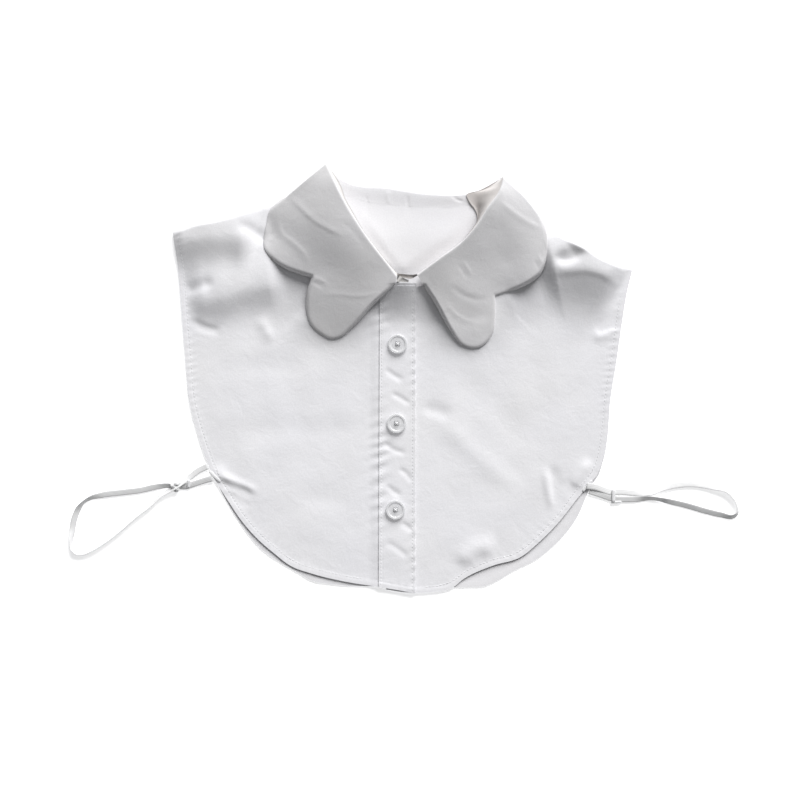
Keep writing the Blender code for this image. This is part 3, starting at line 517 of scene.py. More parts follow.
# Each row a fold: height of its crest in millimetres (a trough is below zero), half widths on its left and
# right hand, the share of its length over which it fades, and its line
FRONT_FOLDS = {
    "left": [
        (6.8, 34, 17, 0.2, [(-176.0, 104.0), (-150.0, 106.0), (-128.0, 107.0), (-106.0, 104.0)]),
        (4.4, 26, 14, 0.2, [(-162.0, 58.0), (-138.0, 61.0), (-108.0, 70.0), (-84.0, 72.0)]),
        (3.2, 14, 15, 0.2, [(-74.0, 56.0), (-60.0, 44.0), (-44.0, 42.0), (-22.0, 58.0)]),
        (-1.4, 4.5, 4.5, 0.35, [(-124.0, 117.0), (-114.0, 111.0), (-104.0, 104.0), (-98.0, 98.0)]),
        (-1.2, 5, 4, 0.3, [(-163.2, 64.0), (-151.3, 67.7), (-138.0, 72.2)]),
        (1.0, 4, 5, 0.4, [(-106.9, 47.7), (-101.0, 35.9), (-96.6, 24.8)]),
        (-0.5, 9, 9, 0.3, [(-127.6, -41.1), (-83.2, -38.1), (-25.5, -36.6)]),
        (-0.4, 8, 7, 0.4, [(-81.8, -87.7), (-57.4, -89.9), (-32.9, -92.9)]),
        (1.2, 5, 5, 0.3, [(-141.0, -62.0), (-130.0, -77.0), (-118.0, -88.0)]),
        (-1.2, 3.6, 3, 0.3, [(-139.5, -75.1), (-126.2, -81.0), (-109.9, -88.4)]),
        (-0.9, 3, 2.6, 0.3, [(-133.6, -84.0), (-123.2, -89.9), (-112.8, -96.6)]),
        (0.8, 3, 2.6, 0.3, [(-139.5, -70.7), (-123.2, -76.6), (-104.0, -85.5)]),
        (-1.0, 3, 3, 0.3, [(-158.7, 43.3), (-146.2, 37.4), (-133.6, 35.1)]),
        (-0.4, 9, 7, 0.4, [(-146.2, 4.8), (-112.8, 9.2), (-68.5, 6.3)])],
    "right": [
        (10.5, 34, 26, 0.2, [(96.0, 86.0), (114.0, 91.0), (130.0, 91.0), (148.0, 86.0), (168.0, 76.0)]),
        (-2.6, 6.5, 4, 0.35, [(111.0, 93.0), (118.5, 88.0), (126.0, 90.0), (133.0, 97.0)]),
        (0.9, 3, 3, 0.35, [(121.0, 108.4), (128.4, 98.0), (140.2, 93.6)]),
        (0.9, 6, 3.0, 0.3, [(106.0, 76.5), (120.0, 78.5), (136.0, 79.5), (150.0, 75.5), (162.0, 66.5)]),
        (3.4, 14, 16, 0.2, [(28.0, 52.0), (46.0, 40.0), (62.0, 42.0), (74.0, 60.0), (90.0, 66.0)]),
        (-0.5, 12, 10, 0.25, [(21.8, 7.8), (57.4, -12.2), (87.0, -38.1), (107.7, -61.8)]),
        (0.6, 8, 7, 0.3, [(15.9, -23.3), (42.5, -45.5), (72.2, -72.2), (94.3, -88.4)]),
        (1.6, 8, 7, 0.3, [(41.0, -140.0), (56.0, -126.0), (72.0, -126.0)]),
        (-0.8, 5, 4, 0.35, [(12.9, -20.4), (24.8, -24.1), (38.1, -28.5)]),
        (-1.2, 4, 3, 0.3, [(110.6, -61.8), (113.6, -79.5), (117.3, -100.3)]),
        (0.8, 3, 3, 0.3, [(105.5, -64.0), (107.7, -81.0), (111.4, -98.8)]),
        (1.4, 5, 5, 0.3, [(124.0, -86.0), (132.0, -72.0), (139.0, -58.0)]),
        (-1.2, 5, 4, 0.3, [(116.5, -76.6), (126.9, -83.2), (135.8, -92.1)]),
        (-1.0, 5, 4, 0.3, [(141.7, 35.9), (150.6, 38.9), (162.4, 44.8)]),
        (0.8, 4, 4, 0.3, [(138.8, 30.0), (150.6, 32.9), (162.4, 37.4)])]}
OUTER_EDGES = {
    "left": joined(smooth_line(ARMHOLE_LEFT, steps(70)), smooth_line(HEM_LEFT, steps(90))),
    "right": joined(smooth_line(HEM_RIGHT, steps(90)), smooth_line(ARMHOLE_RIGHT, steps(70))[::-1])}
SHOULDERS = {"left": smooth_line(SHOULDER_LEFT, steps(60)), "right": smooth_line(SHOULDER_RIGHT, steps(60))}


def front_full(x, y, side):
    """Lie of a front in millimetres: the back panel, a layer, a puff that grows from the outer edges over
    34 mm and is higher towards the neck, a rise at the foot of the V as a power of the way up, and the
    folds, never under the layer. The left rises over the right and over the buttonhole side."""
    signed, along = nearest(x, y, OUTER_EDGES[side])
    edge = np.abs(signed)
    loft = (BODY_PUFF + NECK_PUFF * ease(35.0, 80.0, y)) * ease(0.0, PUFF_REACH, edge)
    ramp = np.clip((y - V_RAMP_START) / V_RAMP_LENGTH, 0.0, 1.0)
    loft = loft + V_RAMP_RISE * ramp**1.9 * np.exp(-(((x + 1.0) / V_RAMP_WIDTH) ** 2))
    loft = loft + folds(x, y, FRONT_FOLDS[side]) + unevenness(x, y, 11, 0.2, 42.0) * ease(0.0, 24.0, edge)
    loft = loft + puckers(edge - 3.5, along, 0.2, 5.5, 4.0, 5 if side == "left" else 6) * ease(0.0, 1.5, edge)
    loft = 0.5 * (loft + np.sqrt(loft**2 + 0.25))
    height = back_top(x, y) + FRONT_LAYER + loft
    if side == "left":
        height = height + FRONT_LAYER * ease(-25.0, -17.0, x)
        height = height + puckers(x + 17.2, -y, 0.3, 9.0, 6.5, 7) + puckers(x - 9.8, -y, 0.2, 8.0, 4.0, 8)
    return height


def front_height(x, y, side):
    """Upper surface of a front: its full lie, rolled down to the shoulder seam over 4.5 mm, with its turned
    edge raised 0.22 mm and its stitch line drawn in."""
    seam = shoulder_seam(x, y)
    shoulder = np.abs(nearest(x, y, SHOULDERS[side])[0])
    edge = np.abs(nearest(x, y, OUTER_EDGES[side])[0])
    full = front_full(x, y, side)
    height = full - np.maximum(full - seam, 0.0) * (1 - roll(shoulder, 4.5))
    return height + 0.22 * ease(5.6, 4.8, edge) - 0.25 * np.exp(-(((edge - 4.2) / 0.7) ** 2))


POPLIN_FRONT = poplin_finish("poplin_front", (0.715, 0.712, 0.745, 1.0), (0.735, 0.728, 0.735, 1.0),
                             0.33 * MM, 0.02 * MM)
rows = steps(200, 1.25)
plan = patch(joined(smooth_line(NECK_RIGHT, steps(80)), smooth_line(SHOULDER_RIGHT, steps(80))),
             smooth_line(HEM_RIGHT, steps(160)), smooth_line(CENTRE_RIGHT, rows),
             smooth_line(ARMHOLE_RIGHT, rows), rows)
front_right = shell("front_right_cloth", plan, front_height(plan[..., 0], plan[..., 1], "right"),
                    FRONT_THICKNESS, POPLIN_FRONT)
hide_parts("front_right")
plan = patch(joined(smooth_line(SHOULDER_LEFT, steps(80)), smooth_line(NECK_LEFT, steps(80))),
             smooth_line(HEM_LEFT, steps(160)), smooth_line(ARMHOLE_LEFT, rows), smooth_line(CENTRE_LEFT, rows),
             rows)
front_left = shell("front_left_cloth", plan, front_height(plan[..., 0], plan[..., 1], "left"), FRONT_THICKNESS,
                   POPLIN_FRONT)
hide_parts("front_left")


# Placket: a straight band of poplin down the edge of the left front, folded in at both sides and stitched
# close to them, which draws the cloth into small slanting dents. The buttons close through it.
PLACKET_THICKNESS = 0.6 * MM
PLACKET_LIFT = 0.7
PLACKET_TOP = [(-16.8, 68.0), (9.4, 68.0)]
PLACKET_BOTTOM = [(-17.6, -154.6), (-4.0, -156.7), (9.0, -159.2)]
PLACKET_DENTS = [
    (-0.5, 2.2, 2.2, 0.3, [(-14.0, 8.0), (-6.0, 2.0), (2.0, -2.0)]),
    (-0.45, 2.0, 2.0, 0.3, [(-10.0, -10.0), (-2.0, -14.0), (7.0, -20.0)]),
    (-0.5, 2.4, 2.0, 0.3, [(-15.0, -46.0), (-8.0, -52.0), (4.0, -56.0)]),
    (-0.45, 2.2, 2.0, 0.3, [(-4.0, -66.0), (2.0, -70.0), (8.0, -78.0)]),
    (-0.5, 2.2, 2.2, 0.3, [(-13.0, -78.0), (-6.0, -84.0), (0.0, -88.0)]),
    (-0.5, 2.0, 2.6, 0.3, [(-2.0, -106.0), (4.0, -110.0), (8.0, -114.0)]),
    (-0.4, 2.4, 2.4, 0.3, [(-14.0, -120.0), (-4.0, -126.0), (6.0, -134.0)])]


def placket_height(x, y):
    """Left front plus a layer, its folded sides raised, its two stitch lines drawn in, and its dents."""
    inset = np.minimum(x + 17.0, 9.4 - x)
    height = front_height(x, y, "left") + PLACKET_LIFT + folds(x, y, PLACKET_DENTS)
    height = height + 0.15 * ease(3.2, 2.4, inset) - 0.25 * np.exp(-(((inset - 1.8) / 0.6) ** 2))
    return height


rows = steps(300)
sides = [smooth_line([PLACKET_TOP[end], PLACKET_BOTTOM[end]], rows) for end in (0, -1)]
plan = patch(smooth_line(PLACKET_TOP, steps(32)), smooth_line(PLACKET_BOTTOM, steps(32)), *sides, rows)
placket = shell("placket_cloth", plan, placket_height(plan[..., 0], plan[..., 1]),
                PLACKET_THICKNESS, POPLIN_FRONT)
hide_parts("placket")


# Stitches: white thread, 2.6 mm a stitch, in two lines down the placket and in one line round the turned
# armhole and hem of each front, with a short sewn bar where each elastic joins the hem. Each stitch is a
# small rounded bar.
STITCH_PITCH = 2.6
STITCH_HALF = 0.85
STITCH_RADIUS = 0.2


def stitches(name, line, height):
    """One bar for every pitch of the line, laid on the height of the cloth at its two ends: six-sided rings
    at -1, -0.7, 0.7 and 1 of its half length, the end rings at 0.45 of the radius."""
    length = np.sum(np.hypot(*np.diff(line, axis=0).T))
    places = smooth_line(line, np.linspace(0.004, 0.996, int(length / STITCH_PITCH)))
    run = np.gradient(places, axis=0)
    run *= STITCH_HALF / np.linalg.norm(run, axis=1)[:, None]
    start, end = places - run, places + run
    start = np.column_stack([start, height(start[:, 0], start[:, 1])])
    end = np.column_stack([end, height(end[:, 0], end[:, 1])])
    along = (end - start) / 2
    side = np.stack([-along[:, 1], along[:, 0], 0 * along[:, 0]], axis=1)
    side /= np.linalg.norm(side, axis=1)[:, None]
    up = np.cross(along, side)
    up /= np.linalg.norm(up, axis=1)[:, None]
    t, r = np.array([-1, -0.7, 0.7, 1.0]), np.array([0.45, 1, 1, 0.45]) * STITCH_RADIUS
    angle = np.arange(6) * math.pi / 3
    points = ((start + end)[:, None, None] / 2 + along[:, None, None] * t[:, None, None]
              + side[:, None, None] * (np.cos(angle) * r[:, None])[..., None]
              + up[:, None, None] * (np.sin(angle) * r[:, None])[..., None] + (0, 0, 0.06)).reshape(-1, 3)
    ring = np.arange(24).reshape(4, 6)
    quads = np.stack([ring[:-1], np.roll(ring, -1, 1)[:-1], np.roll(ring, -1, 1)[1:], ring[1:]],
                     axis=-1).reshape(-1, 4)
    first = (np.arange(len(places)) * 24)[:, None, None]
    caps = np.stack([ring[0, ::-1], ring[-1]])
    if np.cross(side[0], up[0]) @ along[0] < 0:
        quads, caps = quads[:, ::-1], caps[:, ::-1]
    faces = (quads + first).reshape(-1, 4).tolist() + (caps + first).reshape(-1, 6).tolist()
    uv = np.tile(np.stack([np.repeat(t * STITCH_HALF, 6), np.tile(angle * STITCH_RADIUS, 4)], axis=1),
                 (len(places), 1))
    return piece_from(name, points * MM, faces, uv * MM, THREAD)


stitches("stitches_placket_left", [(-15.2, 66.0), (-15.6, -45.0), (-15.9, -153.0)], placket_height)
stitches("stitches_placket_right", [(7.6, 66.0), (7.5, -45.0), (7.3, -157.0)], placket_height)
for side in ("left", "right"):
    line = OUTER_EDGES[side]
    run = np.gradient(line, axis=0)
    run /= np.linalg.norm(run, axis=1)[:, None]
    line = line + 4.2 * np.stack([-run[:, 1], run[:, 0]], axis=1)
    line = line[(line[:, 0] < -19.0) | (line[:, 0] > 11.5)]
    stitches("stitches_" + side, line[2:-2:6], lambda x, y: front_height(x, y, side))
for side, start, end in (("left", (-143.4, -68.6), (-135.0, -76.6)), ("right", (140.6, -75.4), (133.6, -83.6))):
    share = np.linspace(0.0, 1.0, 60)
    path = np.array(start) * (1 - share[:, None]) + np.array(end) * share[:, None]
    path = np.column_stack([path, front_height(path[:, 0], path[:, 1], side) + 0.15])
    swell = (1 + 0.14 * np.cos(share * 2 * math.pi * 13)) * np.sqrt(1 - 0.9 * (2 * share - 1) ** 8)
    points, faces, uv = carried(path * MM, 1.1 * swell * MM, 0.45 * swell * MM, share * 0)
    piece_from("sewn_bar_" + side, points, faces, uv, THREAD)


# Collar: the fall, of two layers of poplin seamed and turned, with two scallops on each side. It turns down
# from its fold at the neck, arches over the fronts, wraps the shoulders, and its back lies flat under the
# back panel.
COLLAR_THICKNESS = 0.9 * MM
FOLD_BACK = [(-56.6, 159.5), (-42.5, 146.9), (-9.2, 141.7), (20.4, 137.3), (50.0, 138.0), (74.4, 149.8)]
LOBE_LEFT_LOWER = [(-5.5, 69.2), (-20.4, 55.1), (-38.9, 35.9), (-45.5, 30.7), (-52.9, 29.2), (-60.3, 32.6),
                   (-67.7, 39.6), (-71.4, 51.0), (-71.1, 62.0), (-67.7, 74.4)]
LOBE_LEFT_UPPER = [(-67.7, 74.4), (-77.3, 77.3), (-88.4, 81.8), (-97.3, 89.2), (-101.8, 95.8),
                   (-102.5, 104.0), (-100.3, 115.8), (-98.8, 123.2), (-87.0, 135.1)]
WRAP_LEFT = [(-56.6, 159.5), (-72.2, 147.0), (-87.0, 135.1)]
LOBE_RIGHT_LOWER = [(15.9, 67.7), (22.6, 57.4), (35.9, 34.4), (42.5, 25.9), (49.2, 22.6), (55.9, 22.6),
                    (62.5, 27.0), (67.0, 34.4), (68.5, 47.0), (68.5, 61.0)]
LOBE_RIGHT_UPPER = [(68.5, 61.0), (75.8, 63.3), (87.7, 67.0), (95.8, 71.4), (101.8, 76.5), (105.0, 84.0),
                    (106.2, 94.3), (106.0, 108.0), (102.5, 118.8), (98.8, 125.4)]
WRAP_RIGHT = [(74.4, 149.8), (81.0, 143.9), (90.7, 135.1), (98.8, 125.4)]
# Each row a point of the fall's upper surface: x, y, height over the table
COLLAR_POINTS = {
    "left": [
        (-4, 76, 17), (-15, 91, 21.5), (-27, 105.5, 24.5), (-40, 126, 25.5), (-50, 145, 26), (-56.6, 158.5, 21),
        (-71.5, 147, 19), (-86.5, 135, 12.5), (-98, 124, 9.5), (-60, 120, 24), (-45, 100, 23), (-30, 85, 21),
        (-80, 116, 17), (-101, 108, 6.5), (-100, 95, 10), (-89, 84, 13), (-75, 98, 17), (-70, 78, 14.5),
        (-55, 82, 16.5), (-38, 70, 16.5), (-12, 64, 16), (-62, 62, 12.5), (-71, 52, 9), (-64, 38, 6.5),
        (-50, 31, 6), (-40, 38, 9), (-50, 48, 10.5), (-30, 50, 13)],
    "right": [
        (11, 77, 17), (27, 88, 20), (44, 101, 22.5), (54.4, 113, 24.5), (63, 126, 26), (71, 138, 24.5),
        (74.4, 149, 19.5), (82, 143.5, 18), (91, 134.5, 16.5), (98.5, 125, 16), (105, 111, 16.5),
        (106, 95, 17.5), (103, 82, 17.5), (95, 72, 16),
        (84, 66, 12.5), (72, 63, 9), (84, 120, 19), (72, 108, 19), (58, 96, 19.5),
        (90, 100, 16.5), (76, 88, 13.5), (60, 80, 14.5), (45, 86, 18.5), (36, 70, 16.5), (20, 66, 14.5),
        (50, 64, 13.5), (61, 58, 10), (68, 48, 8), (67, 36, 6.5), (56, 25, 6), (47, 25, 5.8), (37, 34, 9.5),
        (50, 42, 8), (29, 48, 12.5)]}
COLLARS = {"left": (FOLD_LEFT, LOBE_LEFT_LOWER, LOBE_LEFT_UPPER, WRAP_LEFT),
           "right": (FOLD_RIGHT, LOBE_RIGHT_LOWER, LOBE_RIGHT_UPPER, WRAP_RIGHT)}
# Each row a crease of the fall, as a row of the fronts' folds
COLLAR_CREASES = {
    "left": [
        (0.36, 3.0, 1.8, 0.3, [(-85.5, 135.0), (-75.8, 126.2), (-64.8, 115.8), (-47.7, 106.2), (-38.9, 102.5)]),
        (0.3, 1.8, 2.6, 0.3, [(-92.1, 123.2), (-88.4, 106.2), (-81.0, 100.3), (-72.2, 91.4), (-67.0, 80.3)]),
        (-0.21, 1.3, 1.3, 0.4, [(-103.0, 109.5), (-98.0, 107.0), (-92.5, 106.5)]),
        (0.21, 1.2, 1.2, 0.4, [(-103.0, 104.5), (-98.5, 102.5), (-93.0, 103.0)]),
        (0.24, 1.3, 1.3, 0.4, [(-68.5, 74.5), (-62.0, 73.0), (-54.0, 69.0)]),
        (-0.21, 1.2, 1.2, 0.4, [(-68.5, 71.5), (-63.0, 69.5), (-56.5, 66.0)]),
        (0.18, 2.2, 1.6, 0.35, [(-64.0, 61.0), (-50.0, 62.0), (-30.0, 60.5), (-14.0, 64.0)]),
        (-0.18, 2.5, 2.5, 0.35, [(-48.0, 118.0), (-34.0, 105.0), (-24.0, 92.0)])],
    "right": [
        (0.36, 1.8, 3.0, 0.3, [(68.5, 132.1), (79.6, 123.2), (88.4, 117.3), (98.0, 112.1), (106.2, 108.4)]),
        (0.21, 1.3, 1.3, 0.4, [(99.0, 92.5), (102.0, 86.0), (106.0, 81.5)]),
        (-0.21, 1.3, 1.3, 0.4, [(96.0, 89.0), (99.0, 82.5), (102.5, 77.5)]),
        (0.18, 1.3, 1.3, 0.4, [(43.0, 88.0), (47.0, 82.0), (52.0, 74.0)]),
        (-0.18, 1.3, 1.3, 0.4, [(39.5, 85.0), (44.0, 79.0), (48.5, 72.0)]),
        (-0.27, 1.8, 2.4, 0.35, [(33.0, 70.0), (46.0, 61.0), (57.0, 58.0), (67.0, 60.5)]),
        (0.18, 1.6, 2.4, 0.35, [(28.0, 60.0), (40.0, 47.0), (52.0, 41.5), (66.0, 43.0)])]}


PLATE_REACH = 50.0
COLLAR_CLEARANCE = 1.3
FOLD_ROLL = 1.7
EDGE_ROLL = 3.0
WRAP_ROLL = 2.6


def thin_plate(x, y, rows, slack):
    """Smoothest surface through points of given height: a plane plus a weight times r^2 log r for each
    point, the weights solved so that it passes them, within a slack."""
    known = np.array(rows, float)
    count = len(known)

    def spread(dx, dy):
        r2 = (dx**2 + dy**2) / PLATE_REACH**2
        return 0.5 * r2 * np.log(r2 + 1e-9)

    system = np.zeros((count + 3, count + 3))
    apart = known[:, None] - known[None]
    system[:count, :count] = spread(apart[..., 0], apart[..., 1])
    system[:count, :count] += slack * np.eye(count)
    system[:count, count:] = np.column_stack([np.ones(count), known[:, :2] / PLATE_REACH])
    system[count:, :count] = system[:count, count:].T
    weight = np.linalg.solve(system, np.concatenate([known[:, 2], np.zeros(3)]))
    height = weight[count] + weight[count + 1] * x / PLATE_REACH + weight[count + 2] * y / PLATE_REACH
    for place, amount in zip(known, weight):
        height = height + amount * spread(x - place[0], y - place[1])
    return height


def under_collar(x, y, side):
    """Highest cloth beneath that side of the fall: its front, and the placket where it reaches under."""
    if side == "left":
        return front_full(x, y, side) + 1.2 * ease(-22.0, -17.5, x)
    return front_full(x, y, side) + 2.4 * ease(14.0, 10.5, x)


def collar_height(x, y, side, fold_rows, lower, upper, wrap_rows):
    """Upper surface of the fall: the plate through its points, or a little over the fronts where they are
    higher, rounded down 1.7 mm at the fold, towards the fronts at its outer edge, and to the table where it
    wraps."""
    height = thin_plate(x, y, COLLAR_POINTS[side], 0.02) + folds(x, y, COLLAR_CREASES[side])
    floor = under_collar(x, y, side) + COLLAR_CLEARANCE
    over = height - floor
    height = floor + 0.5 * (over + np.sqrt(over**2 + 1.0))
    inner = np.abs(nearest(x, y, smooth_line(fold_rows, steps(60)))[0])
    outer = np.abs(nearest(x, y, joined(smooth_line(lower, steps(50)), smooth_line(upper, steps(50))))[0])
    height = height - 0.88 * np.maximum(height - floor, 0.0) * (1 - roll(outer, EDGE_ROLL))
    height = height - FOLD_ROLL * (1 - roll(inner, FOLD_ROLL))
    height = height - 0.3 * (1 - roll(outer, 0.8)) - 0.35 * (1 - roll(outer, EDGE_ROLL))
    wrap = np.abs(nearest(x, y, smooth_line(wrap_rows, steps(30)))[0])
    return 1.0 + (height - 1.0) * roll(wrap, WRAP_ROLL)


# Painted shade: the fall is the fronts' poplin, made darker grey to stand in for the shade on its slopes that
# turn away from the lamp.
POPLIN_COLLAR_PAINTED_SHADE = poplin_finish("poplin_collar_painted_shade", (0.585, 0.58, 0.6, 1.0), (0.6, 0.592, 0.592, 1.0),
                              0.32 * MM, 0.02 * MM)
collar_edge = {}
for side, (fold_rows, lower, upper, wrap_rows) in COLLARS.items():
    across = steps(84, 1.2)
    inner = smooth_line(fold_rows, steps(180))
    outer = joined(smooth_line(lower, steps(96)), smooth_line(upper, steps(84)))
    plan = patch(inner, outer, smooth_line([fold_rows[0], lower[0]], across), smooth_line(wrap_rows, across),
                 across)
    height = collar_height(plan[..., 0], plan[..., 1], side, fold_rows, lower, upper, wrap_rows)
    collar_edge[side] = np.column_stack([plan[0], height[0]])
    fall = shell("collar_fall_" + side, plan, height, COLLAR_THICKNESS, POPLIN_COLLAR_PAINTED_SHADE,
                 0.7 if side == "left" else -0.7)
    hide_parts("collar_" + side)

start, end = (math.atan2(wrap[-1][1] - BACK_FALL_CENTRE[1], wrap[-1][0] - BACK_FALL_CENTRE[0])
              for wrap in (WRAP_LEFT, WRAP_RIGHT))
turn = np.linspace(start, end, 121)
arc = np.stack([BACK_FALL_CENTRE[0] + BACK_FALL_RADIUS * np.cos(turn),
                BACK_FALL_CENTRE[1] + BACK_FALL_RADIUS * np.sin(turn)], axis=1)
arc[0], arc[-1] = WRAP_LEFT[-1], WRAP_RIGHT[-1]
rows = steps(40)
plan = patch(smooth_line(FOLD_BACK, steps(120)), arc, smooth_line(WRAP_LEFT, rows),
             smooth_line(WRAP_RIGHT, rows), rows)
back_fall = shell("collar_fall_back", plan, np.full(plan.shape[:2], 1.0), COLLAR_THICKNESS, POPLIN_COLLAR_PAINTED_SHADE)
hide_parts("collar_back")


# Neckband: the stand that the collar turns over, two layers of poplin. At the back it rolls from the fold
# down to the neck seam of the back panel; at the front each half drops inside the fold, and its rounded
# ends overlap.
BAND_THICKNESS = 0.7 * MM
BACK_SEAM_LINE = smooth_line(BACK_SEAM, steps(140))
# Each row a place on the foot of a front half: share of the fold above it, from the front, x, y and height
BAND_FOOT = {
    "left": [
        (0.97, -54.8, 157.1, 3.0), (0.9, -50.6, 151.2, 3.2), (0.8, -45.6, 142.7, 3.0),
        (0.7, -42.4, 133.4, 2.8), (0.6, -37.6, 124.9, 2.6), (0.45, -30.2, 112.0, 2.4),
        (0.35, -24.6, 104.1, 2.3), (0.25, -18.6, 96.1, 2.4), (0.15, -12.5, 88.2, 3.0),
        (0.07, -7.6, 82.0, 5.0), (0.0, -3.4, 76.9, 10.0)],
    "right": [
        (0.98, 71.0, 146.6, 6.0), (0.93, 57.0, 139.4, 3.7), (0.87, 47.5, 136.2, 3.5),
        (0.8, 49.6, 131.0, 3.4), (0.72, 54.0, 125.0, 3.4), (0.62, 55.6, 118.6, 3.8),
        (0.5, 49.0, 107.6, 4.0), (0.35, 39.2, 96.6, 4.4), (0.2, 27.8, 87.2, 5.2),
        (0.08, 18.2, 80.6, 7.0), (0.0, 11.6, 76.4, 11.0)]}
BAND_TIPS = {"left": [(-2.6, 75.4, 16.6, -4.2, 72.6, 15.2), (1.2, 73.6, 16.4, -0.4, 71.0, 15.2),
                      (4.6, 72.2, 16.0, 4.0, 70.0, 15.0)],
             "right": [(6.4, 76.2, 15.6, 6.6, 73.4, 14.2), (1.4, 76.6, 15.2, 1.6, 74.0, 14.0),
                       (-4.0, 77.2, 14.8, -3.6, 74.6, 13.8)]}
# Painted shade: the stands are the same poplin, made darker and warmer grey to stand in for the shade and warm
# bounced light inside the neck, darkest on the right.
POPLIN_STAND_PAINTED_SHADE = {
    side: poplin_finish("poplin_stand_painted_shade_" + side, cool, warm, 0.2 * MM, 0.02 * MM)
    for side, cool, warm in (("left", (0.5, 0.487, 0.475, 1.0), (0.54, 0.525, 0.51, 1.0)),
                             ("right", (0.47, 0.44, 0.425, 1.0), (0.53, 0.5, 0.485, 1.0)))}
down = np.concatenate((0.28 * steps(10, 1.6), 0.28 + 0.72 * steps(24)[1:]))
top = smooth_line(FOLD_BACK, 0.01 + 0.975 * steps(140))
plan = patch(top, BACK_SEAM_LINE, top[0] + (BACK_SEAM_LINE[0] - top[0]) * down[:, None],
             top[-1] + (BACK_SEAM_LINE[-1] - top[-1]) * down[:, None], down)
x, y = plan[..., 0], plan[..., 1]
height = np.repeat((1.6 + 0.95 * roll(down, 0.16) - 0.44 * ease(0.2, 1.0, down))[:, None], 141, axis=1)
height = height + folds(x, y, NECK_CREASES) + unevenness(x, y, 21, 0.03, 18.0)
band_back = shell("neckband_back_cloth", plan, height, BAND_THICKNESS, POPLIN_INSIDE)
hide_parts("neckband_back")
for side in ("left", "right"):
    fold_rows = COLLARS[side][0]
    share = smooth_line(np.array(BAND_FOOT[side])[:, [1, 2, 3, 0]], steps(120))
    edge = collar_edge[side]
    at = np.clip(share[:, 3], 0.0, 1.0) * (len(edge) - 1)
    top = np.stack([np.interp(at, np.arange(len(edge)), column) for column in edge.T], axis=1)
    top[:, 2] -= 0.15
    bottom = np.column_stack([share[:, :2], np.minimum(share[:, 2], top[:, 2] - 0.5)])
    tips = smooth_line([[*top[-1], *bottom[-1]], *BAND_TIPS[side]], steps(30)[1:])
    top, bottom = np.concatenate([top, tips[:, :3]]), np.concatenate([bottom, tips[:, 3:]])
    across = steps(16)[:, None, None]
    grid = top[None] * (1 - across) + bottom[None] * across
    grid[..., 2] -= 0.35 * np.sin(math.pi * across[..., 0]) * (top[:, 2] - bottom[:, 2])[None]
    band = shell("neckband_%s_cloth" % side, grid[..., :2], grid[..., 2], BAND_THICKNESS, POPLIN_STAND_PAINTED_SHADE[side])
    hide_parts("neckband_" + side)


# Buttons: three clear resin buttons with a raised rim and four holes, sewn down the placket with white
# thread.
BUTTONS = {"button_top": (-3.6, 25.5), "button_middle": (-4.4, -33.3), "button_bottom": (-5.2, -97.3)}
BUTTON_RADIUS = 7.1
BUTTON_FACE = 1.9
BUTTON_HOLES = [(1.06, 1.06), (-1.06, 1.06), (-1.06, -1.06), (1.06, -1.06)]


def resin_finish():
    """Clear cast resin with a faint milky cloud in it."""
    material, shader = plain("clear_resin", (0.8, 0.805, 0.82, 1.0), 0.14)
    shader.inputs["Alpha"].default_value = 0.5
    shader.inputs["IOR"].default_value = 1.5
    shader.inputs["Specular IOR Level"].default_value = 0.6
    shader.inputs["Coat Weight"].default_value = 1.0
    shader.inputs["Coat Roughness"].default_value = 0.06
    place = wired(material, "ShaderNodeTexCoord").outputs["Object"]
    cloud = wired(material, "ShaderNodeTexNoise", [("Vector", place), ("Scale", 350.0), ("Detail", 2.0)])
    tone = wired(material, "ShaderNodeMix", [(0, cloud.outputs["Fac"]), (6, (0.74, 0.745, 0.765, 1.0)),
                                             (7, (0.88, 0.88, 0.88, 1.0))], data_type="RGBA")
    material.node_tree.links.new(tone.outputs[2], shader.inputs["Base Color"])
    return material


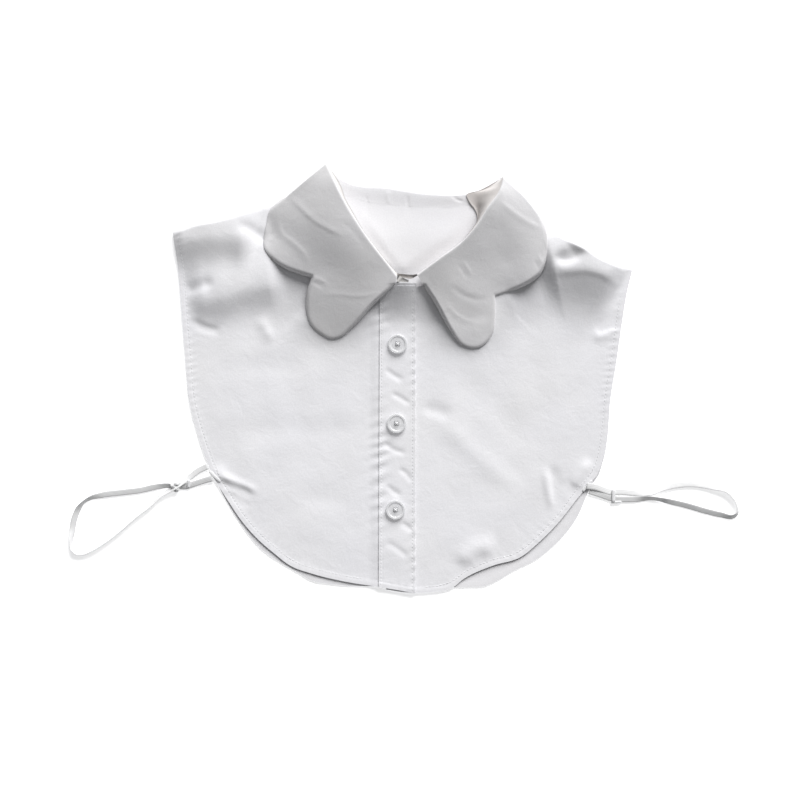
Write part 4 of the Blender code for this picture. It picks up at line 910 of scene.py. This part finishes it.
RESIN = resin_finish()
for name, (x0, y0) in BUTTONS.items():
    base = float(placket_height(np.array([x0]), np.array([y0]))[0]) - 0.1
    rounded_lip = 6.6 + 0.5 * np.sin(np.linspace(0, math.pi / 2, 7))[1:]
    radius = np.concatenate([np.linspace(0.0, 2.7, 34), np.linspace(2.7, 5.2, 8)[1:],
                             np.linspace(5.2, 6.6, 14)[1:], rounded_lip])
    across = np.arange(96) * 2 * math.pi / 96
    px, py = radius[:, None] * np.cos(across), radius[:, None] * np.sin(across)
    rim = 0.7 * ease(5.0, 5.7, radius) - 0.5 * (1 - np.sqrt(1 - (np.clip(radius - 6.6, 0, 0.5) / 0.5) ** 2))
    high = np.repeat((BUTTON_FACE + rim)[:, None], 96, axis=1)
    for hx, hy in BUTTON_HOLES:
        high = high + (0.35 - high) * ease(0.92, 0.78, np.hypot(px - hx, py - hy))
    side_radius = np.array([BUTTON_RADIUS, BUTTON_RADIUS, 7.02, 6.85, 6.6, 6.2, 3.0])
    side_high = np.array([1.6, 0.9, 0.55, 0.3, 0.12, 0.0, 0.0])
    px = np.concatenate([px, side_radius[:, None] * np.cos(across)])
    py = np.concatenate([py, side_radius[:, None] * np.sin(across)])
    high = np.concatenate([high, np.repeat(side_high[:, None], 96, axis=1)])
    points = np.stack([px + x0, py + y0, high + base], axis=-1)[1:].reshape(-1, 3)
    ring = np.arange(len(points)).reshape(-1, 96)
    onward = np.roll(ring, -1, 1)
    faces = np.stack([ring[:-1], ring[1:], onward[1:], onward[:-1]], axis=-1).reshape(-1, 4)
    points = np.concatenate([points, [[x0, y0, base + BUTTON_FACE], [x0, y0, base]]])
    middle = np.stack([np.full(96, len(points) - 2), ring[0], np.roll(ring[0], -1)], axis=1)
    foot = np.stack([np.full(96, len(points) - 1), np.roll(ring[-1], -1), ring[-1]], axis=1)
    button = piece_from(name + "_resin", points * MM, faces.tolist() + middle.tolist() + foot.tolist(),
                        points[:, :2] * MM, RESIN)
    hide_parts(name)
    for number, (a, b) in enumerate([((-1.06, 1.06), (1.06, -1.06)), ((-1.06, -1.06), (1.06, 1.06))]):
        t = np.linspace(-1.0, 1.0, 25)[:, None]
        path = (np.array(a) * (1 - t) + np.array(b) * (1 + t)) / 2 * 1.08
        drop = 1.3 * np.clip(np.abs(t) - 0.72, 0, 1) / 0.28
        rise = 2.0 + 0.35 * number * np.exp(-((t / 0.4) ** 2)) + 0.25 - drop
        path = np.column_stack([path + (x0, y0), rise + base])
        points, faces, uv = carried(path * MM, 0.42 * MM, 0.3 * MM, np.zeros(25), 12)
        piece_from("%s_thread_%d" % (name, number + 1), points, faces, uv, THREAD)


# Table and light: a plain white table and backdrop, one broad soft lamp low over the top of the picture,
# and an even sky.
table = bpy.data.meshes.new("table")
table.from_pydata([(-3, -3, -0.0002), (3, -3, -0.0002), (3, 3, -0.0002), (-3, 3, -0.0002)], [], [(0, 1, 2, 3)])
table_finish, shader = plain("table_white", (0.96, 0.96, 0.965, 1.0), 0.9)
shader.inputs["Emission Color"].default_value = (1.0, 1.0, 1.0, 1.0)
shader.inputs["Emission Strength"].default_value = 0.5
table.materials.append(table_finish)
floor = bpy.data.objects.new("table", table)
bpy.context.scene.collection.objects.link(floor)

LAMP_ELEVATION = math.radians(30.0)
LAMP_TURN = math.radians(20.0)
lamp_data = bpy.data.lights.new("lamp", "SUN")
lamp_data.angle = math.radians(40.0)
lamp_data.energy = 5.4
lamp = bpy.data.objects.new("lamp", lamp_data)
toward = Vector((math.sin(LAMP_TURN) * math.cos(LAMP_ELEVATION), math.cos(LAMP_TURN) * math.cos(LAMP_ELEVATION),
                 math.sin(LAMP_ELEVATION)))
lamp.rotation_euler = toward.to_track_quat("Z", "Y").to_euler()
bpy.context.scene.collection.objects.link(lamp)
world = bpy.data.worlds.new("sky")
world.use_nodes = True
world.node_tree.nodes["Background"].inputs["Color"].default_value = (0.98, 0.99, 1.0, 1.0)
world.node_tree.nodes["Background"].inputs["Strength"].default_value = 0.22
bpy.context.scene.world = world
bpy.context.scene.view_settings.view_transform = "Standard"

bpy.context.view_layer.update()
